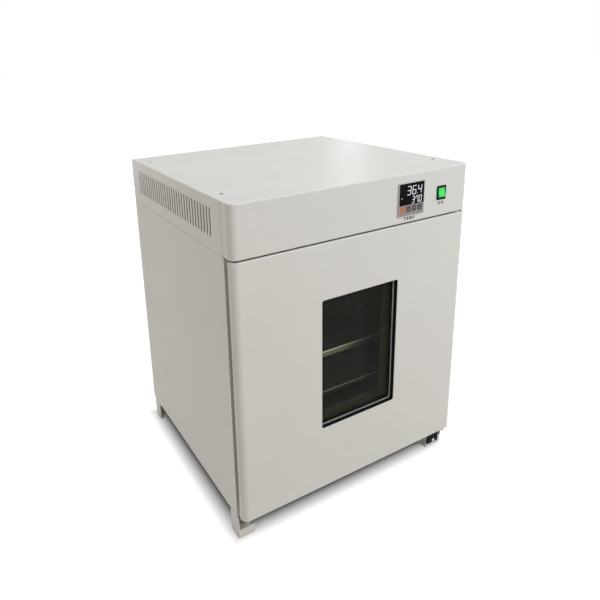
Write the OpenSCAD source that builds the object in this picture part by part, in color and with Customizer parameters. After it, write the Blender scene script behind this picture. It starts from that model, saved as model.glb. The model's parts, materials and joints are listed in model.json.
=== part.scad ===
// Laboratory incubator with one windowed front door.
// X runs across the front, +Y goes to the back, +Z is up, and z = 0 is the surface that the feet stand on.
// Depths in the names below are counted from the front face of the door.

/* [Cabinet] */
// Width across the side panels
body_w = 600; // [560:5:680]
// Depth from the front face of the door to the back panel
body_d = 550; // [510:5:620]
// Height from the floor to the top cover
body_h = 750; // [730:5:820]
// Thickness of the outer steel sheet
sheet = 1.2; // [1:0.1:1.6]
// Plan radius of the front edges of door and fascia
corner_r = 15; // [8:1:20]
// Fold radius of the other outside edges
fold_r = 2.5; // [2:0.1:3.5]
// Width of the seams between outer panels
seam = 0.8; // [0.4:0.1:1.5]
// Height of the cabinet above the floor
foot_h = 55; // [40:1:80]

/* [Walls] */
// Thickness of a side wall, from the outside to the chamber
side_wall = 75; // [60:1:95]
// Thickness of the floor of the cabinet
floor_wall = 60; // [45:1:80]
// Thickness of the ceiling under the control deck
ceiling_wall = 57; // [40:1:75]
// Thickness of the back wall
rear_wall = 85; // [60:1:100]
// Thickness of the chamber's stainless sheet
liner_t = 1; // [0.8:0.1:1.5]
// Corner radius of the chamber
liner_r = 12; // [5:1:25]

/* [Control box] */
// Height of the control fascia
fascia_h = 107; // [100:1:125]
// Depth of the fascia's side and top returns
fascia_wrap = 36; // [30:1:50]
// Thickness of the fascia sheet
fascia_t = 1.5; // [1.2:0.1:2]
// Number of vent slots is worked out from this pitch
vent_pitch = 13.8; // [11:0.1:20]
// Width of a vent slot
vent_w = 5; // [3:0.5:7]
// Height of a vent slot
vent_h = 58; // [30:1:65]
// Depth of the first vent slot
vent_front = 84; // [70:1:120]
// Distance of the last vent slot from the back
vent_rear = 50; // [40:1:90]
// Height of the vent row's middle above the fascia's lower edge
vent_mid = 56; // [45:1:60]
// Side distance of the cover screws from the side panel
screw_side = 26; // [20:1:40]
// Depth of the front pair of cover screws
screw_front = 82; // [60:1:110]
// Distance of the rear pair of cover screws from the back
screw_rear = 67; // [40:1:100]

/* [Controller and switch] */
// Side of the square controller bezel
ctrl_size = 72; // [64:1:80]
// How far the bezel stands proud of the fascia
ctrl_proud = 3; // [2.5:0.5:6]
// Distance of the controller's middle from the cabinet's right side
ctrl_in = 172; // [150:1:220]
// Depth of the controller's case behind the fascia
ctrl_depth = 80; // [60:1:100]
// Side of a controller key
key_size = 12; // [8:0.1:12.4]
// Pitch of the controller keys
key_pitch = 15.8; // [15:0.1:16]
// Travel of a controller key
key_travel = 0.8; // [0.5:0.1:1.2]
// Distance of the power switch's middle from the cabinet's right side
switch_in = 83; // [75:1:100]
// Width of the switch bezel
switch_w = 25.5; // [24:0.1:30]
// Height of the switch bezel
switch_h = 31; // [30:0.1:34]
// How far the switch bezel stands proud of the fascia
switch_proud = 2.5; // [1.5:0.1:3]
// Full angle through which the rocker tips
rocker_swing = 18; // [12:1:20]

/* [Door] */
// Gap between the door and the fascia
door_gap = 3.5; // [3:0.1:5]
// Height of the door's lower edge above the underside of the cabinet
door_lift = 7; // [6:0.5:12]
// Depth of the door skin's returns
door_return = 17.5; // [15:0.5:22]
// Room for the gasket between door and cabinet
gasket_t = 15; // [12:0.5:18]
// Distance of the gasket from the door's edges
gasket_in = 25; // [24:1:35]
// Depth that the door's inner plug reaches
plug_reach = 60; // [50:1:70]
// Clearance all round between plug and chamber
plug_clear = 6; // [5:0.5:10]
// Width of the window
window_w = 202; // [150:1:260]
// Height of the window's lower edge above the bottom of the chamber
window_sill = 100; // [30:1:160]
// Distance of the window's upper edge from the top of the chamber
window_head = 67; // [30:1:120]
// Thickness of a glass pane
glass_t = 4; // [3:0.5:5]
// Distance of the hinge pins from the cabinet's right side
pivot_in = 23; // [20:0.5:25]
// Depth of the hinge pins
pivot_deep = 6; // [5.8:0.1:8]
// Radius of a hinge pin
pin_r = 3; // [2.5:0.1:3.2]

/* [Chamber] */
// Height of the perforated floor above the chamber's bottom
floor_rise = 40; // [35:1:60]
// Top of the lower shelf above the floor that the cabinet stands on
shelf_low = 238; // [220:1:280]
// Distance from the lower shelf to the upper one
shelf_step = 104; // [80:1:160]
// Depth of the shelves' front edge
shelf_front = 86; // [84:1:110]
// Height of a shelf's front lip
shelf_lip = 14; // [8:1:20]
// Radius of the heating tube
heater_r = 4; // [3:0.5:5]
// Pitch of the heating tube's runs
heater_pitch = 60; // [40:1:66]

/* [Hidden] */
$fn = 64;

// Colours
coat = "#cfcec9";
steel = "#a9adb0";
dark_steel = "#6f7173";
zinc = "#c2c4c4";
black = "#151515";
wool = "#d9c98f";

// Main planes of the cabinet
half_w = body_w / 2;
rear_reach = 20;
front_y = -(body_d + rear_reach - ctrl_proud) / 2;
frame_y = door_return + gasket_t;
fascia_z = body_h - fascia_h;
panel_top = fascia_z - seam;
in_w = body_w - 2 * sheet;
cover_y = fascia_wrap + seam;
eps = 0.01;
fit = 0.3;

// Chamber
chamber_w = body_w - 2 * side_wall;
chamber_y = frame_y + sheet;
chamber_back = body_d - rear_wall;
chamber_z = foot_h + floor_wall;
chamber_top = panel_top - sheet - ceiling_wall;
chamber_h = chamber_top - chamber_z;
chamber_mid = chamber_z + chamber_h / 2;
window_h = chamber_h - window_sill - window_head;
window_z = chamber_z + window_sill + window_h / 2;
liner_w = chamber_w + 2 * liner_t;
liner_back = chamber_back + liner_t;
wool_z = foot_h + sheet;
wool_top = panel_top - sheet;

// Door
door_z = foot_h + door_lift;
door_top = fascia_z - door_gap;
door_h = door_top - door_z;
plug_w = chamber_w - 2 * plug_clear;
plug_h = chamber_h - 2 * plug_clear;
pivot_x = half_w - pivot_in;
window_r = 5;
seal_wall = 7;
glass_in = 3;
glass_y = 13;
seal_end = glass_y + glass_t + 2;
inner_glass_y = plug_reach - glass_t - 4;
inner_seal_y = inner_glass_y - 4;
bush_r = pin_r + 1.8;
bush_l = 20;
pin_clear = 0.05;

// Fittings
foot_l = 35;
foot_w = 40;
foot_hinge_w = 52;
foot_t = 2.5;
foot_y = frame_y - 4.5;
foot_rear_gap = 8;
post_r = 6;
cover_head_r = 4;
cover_shank_r = 2;
cover_shank_l = 10;
sunk_clear = 0.15;
cover_head_h = sheet - sunk_clear;
liner_screw_r = 1.6;
ctrl_x = half_w - ctrl_in;
switch_x = half_w - switch_in;
ctrl_z = fascia_z + 52;
ctrl_case = ctrl_size - 4.5;
display_edge = 1.3;
key_strip_h = 25;
display_h = ctrl_size - key_strip_h;
display_w = ctrl_size - 2 * display_edge;
display_z = ctrl_z + (ctrl_size - display_h) / 2 - display_edge;
key_z = ctrl_z - ctrl_size / 2 + 15;
switch_z = fascia_z + 52;
case_w = switch_w - 3.5;
case_h = switch_h - 3;
rocker_w = switch_w - 7;
rocker_r = 11;
rocker_y = 1;
rocker_face = 3.9;
gland_in = 70;
gland_x = half_w - gland_in;
gland_z = fascia_z + 45;
probe_in = 60;
probe_x = chamber_w / 2 - probe_in;
probe_z = chamber_top - 20;
heater_n = 6;
heater_z = chamber_z + 18;
heater_span = (heater_n - 1) * heater_pitch;
heater_front = plug_reach + 50;
heater_rear = chamber_back - 50;
rack_deep = 8;
rack_w = 20;
runner_t = 1.5;
ledge = 12;
runner_drop = 14;
runner_rise = 6;
runner_over = 4;
floor_z = chamber_z + floor_rise;
shelf_w = chamber_w - 2 * (rack_deep + runner_t + 1.5);
shelf_t = 1.2;
shelf_back = chamber_back - 12;
shelf_rear_lip = 12;
rack_rear_gap = 60;
hole_r = 6;
hole_edge = 30;
hole_pitch = 44;
floor_row = 52;
shelf_row = 48;
strip_t = 1.5;
strip_w = 20;
strip_end = 20;
strip_front = 30;
strip_rear = 90;
probe_r = 3;
probe_reach = 70;
probe_tail = 30;
flange_r = 9;
flange_t = 3;
electrics_y = 240;
relay_x = 60;
terminal_x = -90;

// Everything is drawn with y = 0 at the door's front face, and this puts it in the part's own frame.
module in_place() {
    translate([0, front_y, 0]) children();
}

// Number of holes at this pitch in a row that keeps clear of both edges.
function holes(length, pitch) = floor((length - 2 * hole_edge) / pitch) + 1;

// A block given by its lowest and highest corners.
module span(low, high) {
    translate(low) cube(high - low);
}

// A rectangle centred on x, with all corners rounded.
module round_rect(w, h, r) {
    square([w - 2 * r, h], center = true);
    square([w, h - 2 * r], center = true);
    for (sx = [-1, 1], sy = [-1, 1])
        translate([sx * (w / 2 - r), sy * (h / 2 - r)]) circle(r);
}

// A plate with rounded corners that stands across Y, from y0 to y1, with its middle at x, z.
module upright(w, h, r, y0, y1, x = 0, z = 0) {
    translate([x, y1, z]) rotate([90, 0, 0]) linear_extrude(y1 - y0) round_rect(w, h, r);
}

// An upright ring: outer size less inner size.
module ring(w, h, r, wall, y0, y1, z) {
    difference() {
        upright(w, h, r, y0, y1, 0, z);
        upright(w - 2 * wall, h - 2 * wall, max(r - wall, 0.5), y0 - 1, y1 + 1, 0, z);
    }
}

// Edge section of a folded panel: its far side has both corners rounded.
module fold_section(reach, h, r) {
    square([reach - r, h]);
    translate([0, r]) square([reach, h - 2 * r]);
    translate([reach - r, r]) circle(r);
    translate([reach - r, h - r]) circle(r);
}

// A folded front: plan radius plan_r at its two front edges, and fold radius r along top and bottom.
module folded_front(w, d, h, plan_r, r) {
    flat = w / 2 - plan_r;
    span([-flat, plan_r, 0], [flat, d, h]);
    translate([-flat, plan_r, 0]) rotate([90, 0, 90]) mirror([1, 0, 0])
        linear_extrude(2 * flat) fold_section(plan_r, h, r);
    for (side = [-1, 1]) {
        translate([side * flat, plan_r, 0]) rotate([0, 0, side > 0 ? -90 : 180])
            rotate_extrude(angle = 90) fold_section(plan_r, h, r);
        translate([side * flat, d, 0]) mirror([side > 0 ? 0 : 1, 0, 0]) rotate([90, 0, 0])
            linear_extrude(d - plan_r) fold_section(plan_r, h, r);
    }
}

// The same front made of sheet: open at the back.
module folded_shell(w, d, h, plan_r, r, t) {
    difference() {
        folded_front(w, d, h, plan_r, r);
        translate([0, t, t]) folded_front(w - 2 * t, d, h - 2 * t, plan_r - t, max(r - t, 0.4));
    }
}

// A pan-head screw along +Z with its head on top of z = 0.
module screw(head_r, head_h, shank_r, shank_l) {
    cylinder(r1 = head_r, r2 = head_r * 0.8, h = head_h);
    translate([0, 0, -shank_l]) cylinder(r = shank_r, h = shank_l + eps);
}

// Cabinet panels

module side_panel(side) {
    color(coat) in_place()
        mirror([side > 0 ? 1 : 0, 0, 0])
            span([-half_w, frame_y, foot_h], [-half_w + sheet, body_d - sheet, panel_top]);
}

module side_panel_left() {
    side_panel(-1);
}

module side_panel_right() {
    side_panel(1);
}

module gland_hole() {
    translate([gland_x, body_d + 1, gland_z]) rotate([90, 0, 0]) cylinder(r = 10, h = sheet + 2);
}

// Middles of the screws along the back panel's edges.
back_screws = [
    for (x = [-1, 1], z = [foot_h + 20, (foot_h + panel_top) / 2, panel_top - 20, body_h - 20])
        [x * (half_w - 12), z]
];

module back_panel() {
    color(coat) in_place() difference() {
        span([-half_w, body_d - sheet, foot_h], [half_w, body_d, body_h - sheet]);
        gland_hole();
        for (p = back_screws)
            translate([p[0], body_d + 1, p[1]]) rotate([90, 0, 0]) cylinder(r = 2, h = sheet + 2);
    }
}

module back_panel_screws() {
    color(zinc) in_place()
        for (p = back_screws)
            translate([p[0], body_d, p[1]]) rotate([-90, 0, 0]) screw(4, 2, 2, sheet);
}

module base_panel() {
    color(coat) in_place() {
        span([-in_w / 2, chamber_y, foot_h], [in_w / 2, body_d - sheet, foot_h + sheet]);
    }
}

module front_frame() {
    color(coat) in_place() difference() {
        span([-in_w / 2, frame_y, foot_h], [in_w / 2, chamber_y, panel_top]);
        upright(chamber_w, chamber_h, liner_r, frame_y - 1, chamber_y + 1, 0, chamber_mid);
    }
}

// Holes through the chamber's back for the probe and the two heater ends.
module rear_ports(y0, y1) {
    translate([probe_x, y1, probe_z]) rotate([90, 0, 0]) cylinder(r = probe_r + fit, h = y1 - y0);
    for (side = [-1, 1])
        translate([side * heater_span / 2, y1, heater_z]) rotate([90, 0, 0])
            cylinder(r = heater_r + fit, h = y1 - y0);
}

module chamber_liner() {
    color(steel) in_place() difference() {
        upright(liner_w, chamber_h + 2 * liner_t, liner_r + liner_t, chamber_y, liner_back, 0, chamber_mid);
        upright(chamber_w, chamber_h, liner_r, chamber_y - 1, chamber_back, 0, chamber_mid);
        rear_ports(chamber_back - 1, liner_back + 1);
    }
}

// Insulation

module insulation_side(side) {
    color(wool) in_place() mirror([side > 0 ? 1 : 0, 0, 0])
        span([-in_w / 2, chamber_y, wool_z], [-liner_w / 2, liner_back, wool_top]);
}

module insulation_left() {
    insulation_side(-1);
}

module insulation_right() {
    insulation_side(1);
}

module insulation_top() {
    color(wool) in_place()
        span([-liner_w / 2, chamber_y, chamber_top + liner_t], [liner_w / 2, liner_back, wool_top]);
}

module insulation_bottom() {
    color(wool) in_place()
        span([-liner_w / 2, chamber_y, wool_z], [liner_w / 2, liner_back, chamber_z - liner_t]);
}

module insulation_rear() {
    color(wool) in_place() difference() {
        span([-in_w / 2, liner_back, wool_z], [in_w / 2, body_d - sheet, wool_top]);
        rear_ports(liner_back - 1, liner_back + probe_tail + 2);
    }
}

// Control box

// Places of the four cover screws and of the posts under them.
cover_screws = [
    for (x = [-1, 1], y = [screw_front, body_d - screw_rear])
        [x * (half_w - screw_side), y]
];

module control_deck() {
    flange = 22;
    color(zinc) in_place() {
        span([-in_w / 2, chamber_y, wool_top], [in_w / 2, body_d - sheet, panel_top]);
        for (side = [-1, 1])
            mirror([side > 0 ? 1 : 0, 0, 0])
                span([-in_w / 2, cover_y, panel_top], [-in_w / 2 + sheet, body_d - sheet, panel_top + flange]);
        for (p = cover_screws)
            translate([p[0], p[1], panel_top]) difference() {
                cylinder(r = post_r, h = body_h - sheet - panel_top);
                translate([0, 0, body_h - sheet - panel_top - cover_shank_l]) cylinder(r = cover_shank_r, h = 13);
            }
    }
}

vent_n = floor((body_d - vent_front - vent_rear) / vent_pitch) + 1;
vent_z = fascia_z + vent_mid;

// One vent slot, cut through both sides of the cover.
module vent_slot(y) {
    straight = vent_h - vent_w;
    translate([-half_w - 1, y, vent_z]) rotate([90, 0, 90]) linear_extrude(body_w + 2) {
        square([vent_w, straight], center = true);
        for (end = [-1, 1])
            translate([0, end * straight / 2]) circle(vent_w / 2);
    }
}

// Cross section of the top cover: two rounded upper edges.
module cover_section(w, h, r) {
    translate([-w / 2, 0]) square([w, h - r]);
    translate([-w / 2 + r, 0]) square([w - 2 * r, h]);
    for (side = [-1, 1])
        translate([side * (w / 2 - r), h - r]) circle(r);
}

module top_cover() {
    color(coat) in_place() {
        difference() {
            translate([0, body_d - sheet, fascia_z]) rotate([90, 0, 0])
                linear_extrude(body_d - sheet - cover_y) cover_section(body_w, fascia_h, fold_r);
            translate([0, body_d - sheet + 1, fascia_z - 1]) rotate([90, 0, 0])
                linear_extrude(body_d - sheet - cover_y + 2)
                    cover_section(in_w, fascia_h - sheet + 1, fold_r - sheet);
            for (i = [0 : vent_n - 1])
                vent_slot(vent_front + i * vent_pitch);
            for (p = cover_screws)
                translate([p[0], p[1], body_h - sheet]) {
                    cylinder(r1 = cover_shank_r + sunk_clear, r2 = cover_head_r + sunk_clear, h = cover_head_h);
                    translate([0, 0, cover_head_h - eps]) cylinder(r = cover_head_r + sunk_clear, h = 1);
                    translate([0, 0, eps - 1]) cylinder(r = cover_shank_r + sunk_clear, h = 1);
                }
        }
        span([-half_w + fold_r, body_d - sheet, body_h - sheet], [half_w - fold_r, body_d, body_h]);
    }
}

// Countersunk screws, so that the top stays flat.
module top_cover_screws() {
    color(zinc) in_place()
        for (p = cover_screws)
            translate([p[0], p[1], body_h - sheet]) {
                cylinder(r1 = cover_shank_r, r2 = cover_head_r, h = cover_head_h);
                translate([0, 0, -cover_shank_l]) cylinder(r = cover_shank_r, h = cover_shank_l + eps);
            }
}

module control_fascia() {
    color(coat) in_place() difference() {
        translate([0, 0, fascia_z])
            folded_shell(body_w, fascia_wrap, fascia_h, corner_r, fold_r, fascia_t);
        upright(ctrl_case + 2 * fit, ctrl_case + 2 * fit, 1, -1, fascia_t + 1, ctrl_x, ctrl_z);
        upright(case_w + 2 * fit, case_h + 2 * fit, 1, -1, fascia_t + 1, switch_x, switch_z);
    }
}

// Controller

// Middle of key number i, from the left.
function key_x(i) = ctrl_x + (i - 1.5) * key_pitch;

module controller_body() {
    color("#c9c7c4") in_place() difference() {
        union() {
            upright(ctrl_size, ctrl_size, 2.5, -ctrl_proud, 0, ctrl_x, ctrl_z);
            upright(ctrl_case, ctrl_case, 1, 0, ctrl_depth, ctrl_x, ctrl_z);
        }
        upright(display_w + 0.2, display_h + 0.2, 1.6, -ctrl_proud - 1, -ctrl_proud + 1.2, ctrl_x,
            display_z);
        for (i = [0 : 3])
            upright(key_size + 0.8, key_size + 0.8, 1.2, -ctrl_proud - 1, -ctrl_proud + 3, key_x(i), key_z);
    }
}

module controller_display() {
    color(black) in_place()
        upright(display_w, display_h, 1.5, -ctrl_proud + 0.1, -ctrl_proud + 1.2, ctrl_x, display_z);
}

module controller_clamp() {
    color(black) in_place() difference() {
        upright(ctrl_size + 6, ctrl_size + 6, 2, fascia_t, fascia_t + 10, ctrl_x, ctrl_z);
        upright(ctrl_case + 0.4, ctrl_case + 0.4, 1, fascia_t - 1, fascia_t + 11, ctrl_x, ctrl_z);
    }
}

module key(i, colour) {
    color(colour) in_place()
        upright(key_size, key_size, 1, -ctrl_proud - 0.5, -ctrl_proud + 3 - key_travel - 0.2, key_x(i), key_z);
}

module key_set() {
    key(0, "#d4572b");
}

module key_shift() {
    key(1, "#4b4a4a");
}

module key_down() {
    key(2, "#4b4a4a");
}

module key_up() {
    key(3, "#4b4a4a");
}

// Power switch

module switch_housing() {
    case_l = 24;
    color(black) in_place() {
        difference() {
            union() {
                upright(switch_w, switch_h, 1.5, -switch_proud, 0, switch_x, switch_z);
                upright(case_w, case_h, 1, 0, case_l, switch_x, switch_z);
            }
            span([switch_x - rocker_w / 2 - 0.4, -switch_proud - 1, switch_z - rocker_r - 0.4],
                [switch_x + rocker_w / 2 + 0.4, rocker_y + rocker_r, switch_z + rocker_r + 0.4]);
        }
        for (side = [-1, 1])
            translate([switch_x, case_l, switch_z + side * 7])
                span([-3, 0, -0.4], [3, 9, 0.4]);
    }
}

// The rocker turns about X. Its ends are round about the pivot, and its face is two planes.
module switch_rocker() {
    half = rocker_swing / 2;
    color("#22e04a") in_place()
        translate([switch_x, rocker_y, switch_z]) rotate([-half, 0, 0]) difference() {
            rotate([0, 90, 0]) cylinder(r = rocker_r, h = rocker_w, center = true);
            for (end = [-1, 1])
                rotate([end * 5, 0, 0]) translate([0, -rocker_face - 20, end * 20])
                    cube([rocker_w + 2, 40, 40.02], center = true);
            translate([0, 10 + 5, 0]) cube([rocker_w + 2, 20, 40], center = true);
        }
}

module solid_state_relay() {
    color("#3a3f45") in_place() translate([relay_x, electrics_y, panel_top]) {
        difference() {
            span([-29, -22.5, 4], [29, 22.5, 26]);
            for (x = [-20, 20], y = [-12, 12])
                translate([x, y, 20]) cylinder(r = 5, h = 7);
        }
        span([-29, -22.5, 0], [29, 22.5, 4 + eps]);
        for (x = [-20, 20], y = [-12, 12])
            translate([x, y, 20 - eps]) cylinder(r = 3.5, h = 4);
    }
}

module terminal_block() {
    ways = 6;
    way = 11;
    color("#e6e2d6") in_place() translate([terminal_x, electrics_y, panel_top]) {
        span([-ways * way / 2, -14, 0], [ways * way / 2, 14, 8]);
        for (i = [0 : ways])
            translate([(i - ways / 2) * way, 0, 8 - eps]) span([-1, -12, 0], [1, 12, 10]);
        for (i = [0 : ways - 1])
            translate([(i - ways / 2 + 0.5) * way, 0, 8 - eps]) cylinder(r = 3, h = 3);
    }
}

module cable_gland() {
    color(black) in_place() translate([gland_x, body_d, gland_z]) rotate([-90, 0, 0]) difference() {
        union() {
            cylinder(r = 14, h = 3);
            translate([0, 0, 3 - eps]) cylinder(r = 12, h = 7, $fn = 6);
            translate([0, 0, 10 - 2 * eps]) cylinder(r1 = 10, r2 = 7, h = rear_reach - 10);
            translate([0, 0, -sheet - 8]) cylinder(r = 9.7, h = sheet + 8 + eps);
        }
        translate([0, 0, -sheet - 9]) cylinder(r = 4.5, h = rear_reach + sheet + 20);
    }
}

// Plan of a sheet folded round a corner: one leg along X, one along Y.
module folded_corner(leg_x, leg_y, t, r) {
    translate([r, 0]) square([leg_x - r, t]);
    translate([0, r]) square([t, leg_y - r]);
    intersection() {
        square(r);
        translate([r, r]) difference() {
            circle(r);
            circle(r - t);
        }
    }
}

// Feet: folded sheet brackets with a side plate, a low front flange, and flanges at the bottom and the top.
module foot(width) {
    chamfer = 6;
    front_h = 21;
    bend_r = foot_t + 1;
    rotate([90, 0, 90]) linear_extrude(foot_t)
        polygon([
            [bend_r, 0], [foot_l - chamfer, 0], [foot_l, chamfer], [foot_l, foot_h],
            [0, foot_h], [0, front_h], [bend_r, front_h]
        ]);
    linear_extrude(front_h) folded_corner(width, bend_r + 1, foot_t, bend_r);
    span([bend_r, bend_r, 0], [width, foot_l - chamfer, foot_t]);
    span([0, bend_r, 0], [bend_r + eps, foot_l - chamfer, foot_t]);
    span([bend_r, 0, 0], [width, bend_r + eps, foot_t]);
    span([0, sheet + 5, foot_h - foot_t], [width - 5, foot_l, foot_h]);
}

module foot_front_left() {
    color(coat) in_place() translate([-half_w, foot_y, 0]) foot(foot_w);
}

module foot_front_right() {
    color(coat) in_place() mirror([1, 0, 0]) translate([-half_w, foot_y, 0]) foot(foot_hinge_w);
}

module foot_rear_left() {
    color(coat) in_place() translate([-half_w, body_d - foot_rear_gap, 0]) mirror([0, 1, 0]) foot(foot_w);
}

module foot_rear_right() {
    color(coat) in_place() mirror([1, 0, 0]) translate([-half_w, body_d - foot_rear_gap, 0])
        mirror([0, 1, 0]) foot(foot_w);
}

// Hinges

bracket_t = 3.5;
arm_t = 2.5;
arm_r = pin_r + 2;
bracket_w = 37;
bracket_x = pivot_x - 27;
arm_top = door_z - 0.6;
bracket_low = 11;
screw_x = bracket_x + 20.6;
screw_z = bracket_low + 6;

module hinge_bracket_lower() {
    color(black) in_place() difference() {
        union() {
            span([bracket_x, foot_y - bracket_t, bracket_low], [bracket_x + bracket_w, foot_y, arm_top]);
            span([pivot_x - arm_r, pivot_deep, arm_top - arm_t], [bracket_x + bracket_w, frame_y, arm_top]);
            translate([pivot_x, pivot_deep, arm_top - arm_t]) cylinder(r = arm_r, h = arm_t);
        }
        translate([pivot_x, pivot_deep, arm_top - arm_t - 1]) cylinder(r = pin_r, h = arm_t + 2);
        translate([screw_x, foot_y + 1, screw_z]) rotate([90, 0, 0]) cylinder(r = 2.5, h = bracket_t + 2);
    }
}

module hinge_bracket_screw() {
    color(zinc) in_place() translate([screw_x, foot_y - bracket_t, screw_z]) rotate([90, 0, 0])
        screw(4.5, 2.2, 2.5, bracket_t);
}

module hinge_pin_lower() {
    color(zinc) in_place() translate([pivot_x, pivot_deep, arm_top - arm_t])
        cylinder(r = pin_r, h = arm_t + door_z - arm_top + bush_l - 3);
}

plate_t = 2.5;
plate_z = door_top + (door_gap - plate_t) / 2;

module hinge_plate_upper() {
    nose = pivot_deep - 0.6;
    color(zinc) in_place() difference() {
        union() {
            translate([pivot_x, pivot_deep, plate_z]) cylinder(r = nose, h = plate_t);
            span([pivot_x - nose, pivot_deep, plate_z], [half_w - 2, frame_y, plate_z + plate_t]);
        }
        translate([pivot_x, pivot_deep, plate_z - 1]) cylinder(r = pin_r, h = plate_t + 2);
    }
}

module hinge_pin_upper() {
    color(zinc) in_place() translate([pivot_x, pivot_deep, door_top - bush_l + 3])
        cylinder(r = pin_r, h = bush_l - 3 + plate_z - door_top + plate_t);
}

// Heating and air

module heater_run(i) {
    x = -heater_span / 2 + i * heater_pitch;
    last = i == 0 || i == heater_n - 1;
    rear = last ? liner_back + probe_tail : heater_rear;
    translate([x, rear, heater_z]) rotate([90, 0, 0]) rotate([0, 0, 90])
        cylinder(r = heater_r, h = rear - heater_front);
}

module heater_bend(i) {
    x = -heater_span / 2 + (i + 0.5) * heater_pitch;
    at_front = i % 2 == 0;
    y = at_front ? heater_front : heater_rear;
    translate([x, y, heater_z]) rotate([0, 0, at_front ? 180 : 0])
        rotate_extrude(angle = 180) translate([heater_pitch / 2, 0]) rotate(90) circle(heater_r);
}

module heating_element() {
    color(dark_steel) in_place() {
        for (i = [0 : heater_n - 1])
            heater_run(i);
        for (i = [0 : heater_n - 2])
            heater_bend(i);
    }
}

module heater_brackets() {
    top = heater_z - heater_r;
    length = heater_span + 2 * strip_end;
    color(steel) in_place()
        for (y = [heater_front + strip_front, chamber_back - strip_rear]) {
            span([-length / 2, y, top - strip_t], [length / 2, y + strip_w, top]);
            for (side = [-1, 1])
                translate([side * (length / 2 - strip_t / 2), y, chamber_z])
                    span([-strip_t / 2, 0, 0], [strip_t / 2, strip_w, top - chamber_z]);
        }
}

module chamber_floor() {
    side = chamber_w / 2 - liner_r - 1;
    y0 = plug_reach + 8;
    y1 = chamber_back - 3;
    nx = holes(2 * side, hole_pitch);
    ny = holes(y1 - y0, floor_row);
    color(steel) in_place() {
        difference() {
            span([-side, y0, floor_z - shelf_t], [side, y1, floor_z]);
            for (i = [0 : nx - 1], j = [0 : ny - 1])
                translate([(i - (nx - 1) / 2) * hole_pitch, (y0 + y1) / 2 + (j - (ny - 1) / 2) * floor_row,
                    floor_z - 5]) cylinder(r = hole_r, h = 10);
        }
        for (edge = [-1, 1])
            mirror([edge > 0 ? 1 : 0, 0, 0])
                span([-side, y0, chamber_z], [-side + shelf_t, y1, floor_z]);
    }
}

module temperature_probe() {
    color(steel) in_place() translate([probe_x, chamber_back, probe_z]) rotate([90, 0, 0]) {
        cylinder(r = flange_r, h = flange_t);
        translate([0, 0, -liner_t - probe_tail]) cylinder(r = probe_r, h = probe_reach + liner_t + probe_tail);
        translate([0, 0, probe_reach]) sphere(probe_r);
    }
}

// Shelf racks: two slotted channels on each wall.
rack_z = floor_z + 15;
rack_top = chamber_top - 25;
rack_front = shelf_front + 25;
rack_rear = chamber_back - rack_rear_gap;

module rack_strip(y) {
    wall = 1.5;
    pitch = 26;
    n = floor((rack_top - rack_z - 20) / pitch);
    translate([-chamber_w / 2, y - rack_w / 2, rack_z]) difference() {
        cube([rack_deep, rack_w, rack_top - rack_z]);
        translate([-1, wall, -1]) cube([rack_deep - wall + 1, rack_w - 2 * wall, rack_top - rack_z + 2]);
        for (i = [0 : n])
            translate([rack_deep - wall - 1, rack_w / 2 - 5, 12 + i * pitch]) cube([wall + 2, 10, 4]);
    }
}

module rack_left() {
    color(steel) in_place() for (y = [rack_front, rack_rear]) rack_strip(y);
}

module rack_right() {
    color(steel) in_place() mirror([1, 0, 0]) for (y = [rack_front, rack_rear]) rack_strip(y);
}

// A pair of angle runners that carries one shelf, whose underside is at z.
module shelf_runners(z) {
    wall = chamber_w / 2 - rack_deep;
    y0 = rack_front - rack_w / 2 - runner_over;
    y1 = rack_rear + rack_w / 2 + runner_over;
    color(steel) in_place()
        for (side = [-1, 1])
            mirror([side > 0 ? 1 : 0, 0, 0]) {
                span([-wall, y0, z - runner_drop], [-wall + runner_t, y1, z + runner_rise]);
                span([-wall, y0, z - runner_t], [-wall + ledge, y1, z]);
            }
}

module shelf_runners_upper() {
    shelf_runners(shelf_low + shelf_step - shelf_t);
}

module shelf_runners_lower() {
    shelf_runners(shelf_low - shelf_t);
}

// A sheet shelf whose top is at z, with a lip folded down at the front and one folded up at the back.
module shelf(z) {
    nx = holes(shelf_w, hole_pitch);
    ny = holes(shelf_back - shelf_front, shelf_row);
    color(steel) in_place() {
        difference() {
            span([-shelf_w / 2, shelf_front, z - shelf_t], [shelf_w / 2, shelf_back, z]);
            for (i = [0 : nx - 1], j = [0 : ny - 1])
                translate([(i - (nx - 1) / 2) * hole_pitch,
                    (shelf_front + shelf_back) / 2 + (j - (ny - 1) / 2) * shelf_row, z - 5])
                        cylinder(r = hole_r, h = 10);
        }
        span([-shelf_w / 2 + ledge, shelf_front, z - shelf_lip], [shelf_w / 2 - ledge, shelf_front + shelf_t, z]);
        span([-shelf_w / 2, shelf_back - shelf_t, z - shelf_t], [shelf_w / 2, shelf_back, z + shelf_rear_lip]);
    }
}

module shelf_upper() {
    shelf(shelf_low + shelf_step);
}

module shelf_lower() {
    shelf(shelf_low);
}

// Door

// Room for the window's seals and sleeve through the whole door.
module window_hole(wall, y0, y1) {
    upright(window_w + 2 * wall, window_h + 2 * wall, window_r + wall, y0, y1, 0, window_z);
}

module bush_holes(r) {
    for (z = [door_z - 1, door_top - bush_l])
        translate([pivot_x, pivot_deep, z]) cylinder(r = r, h = bush_l + 1);
}

module door_shell() {
    color(coat) in_place() difference() {
        translate([0, 0, door_z]) folded_shell(body_w, door_return, door_h, corner_r, fold_r, sheet);
        window_hole(0, -1, sheet + 1);
        bush_holes(bush_r);
    }
}

// Middles of the screws that hold the door's liner to its skin.
liner_screws = [
    for (x = [-1, 1], z = [door_z + 30, door_z + door_h / 2, door_top - 30])
        [x * (half_w - 12), z]
];

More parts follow.
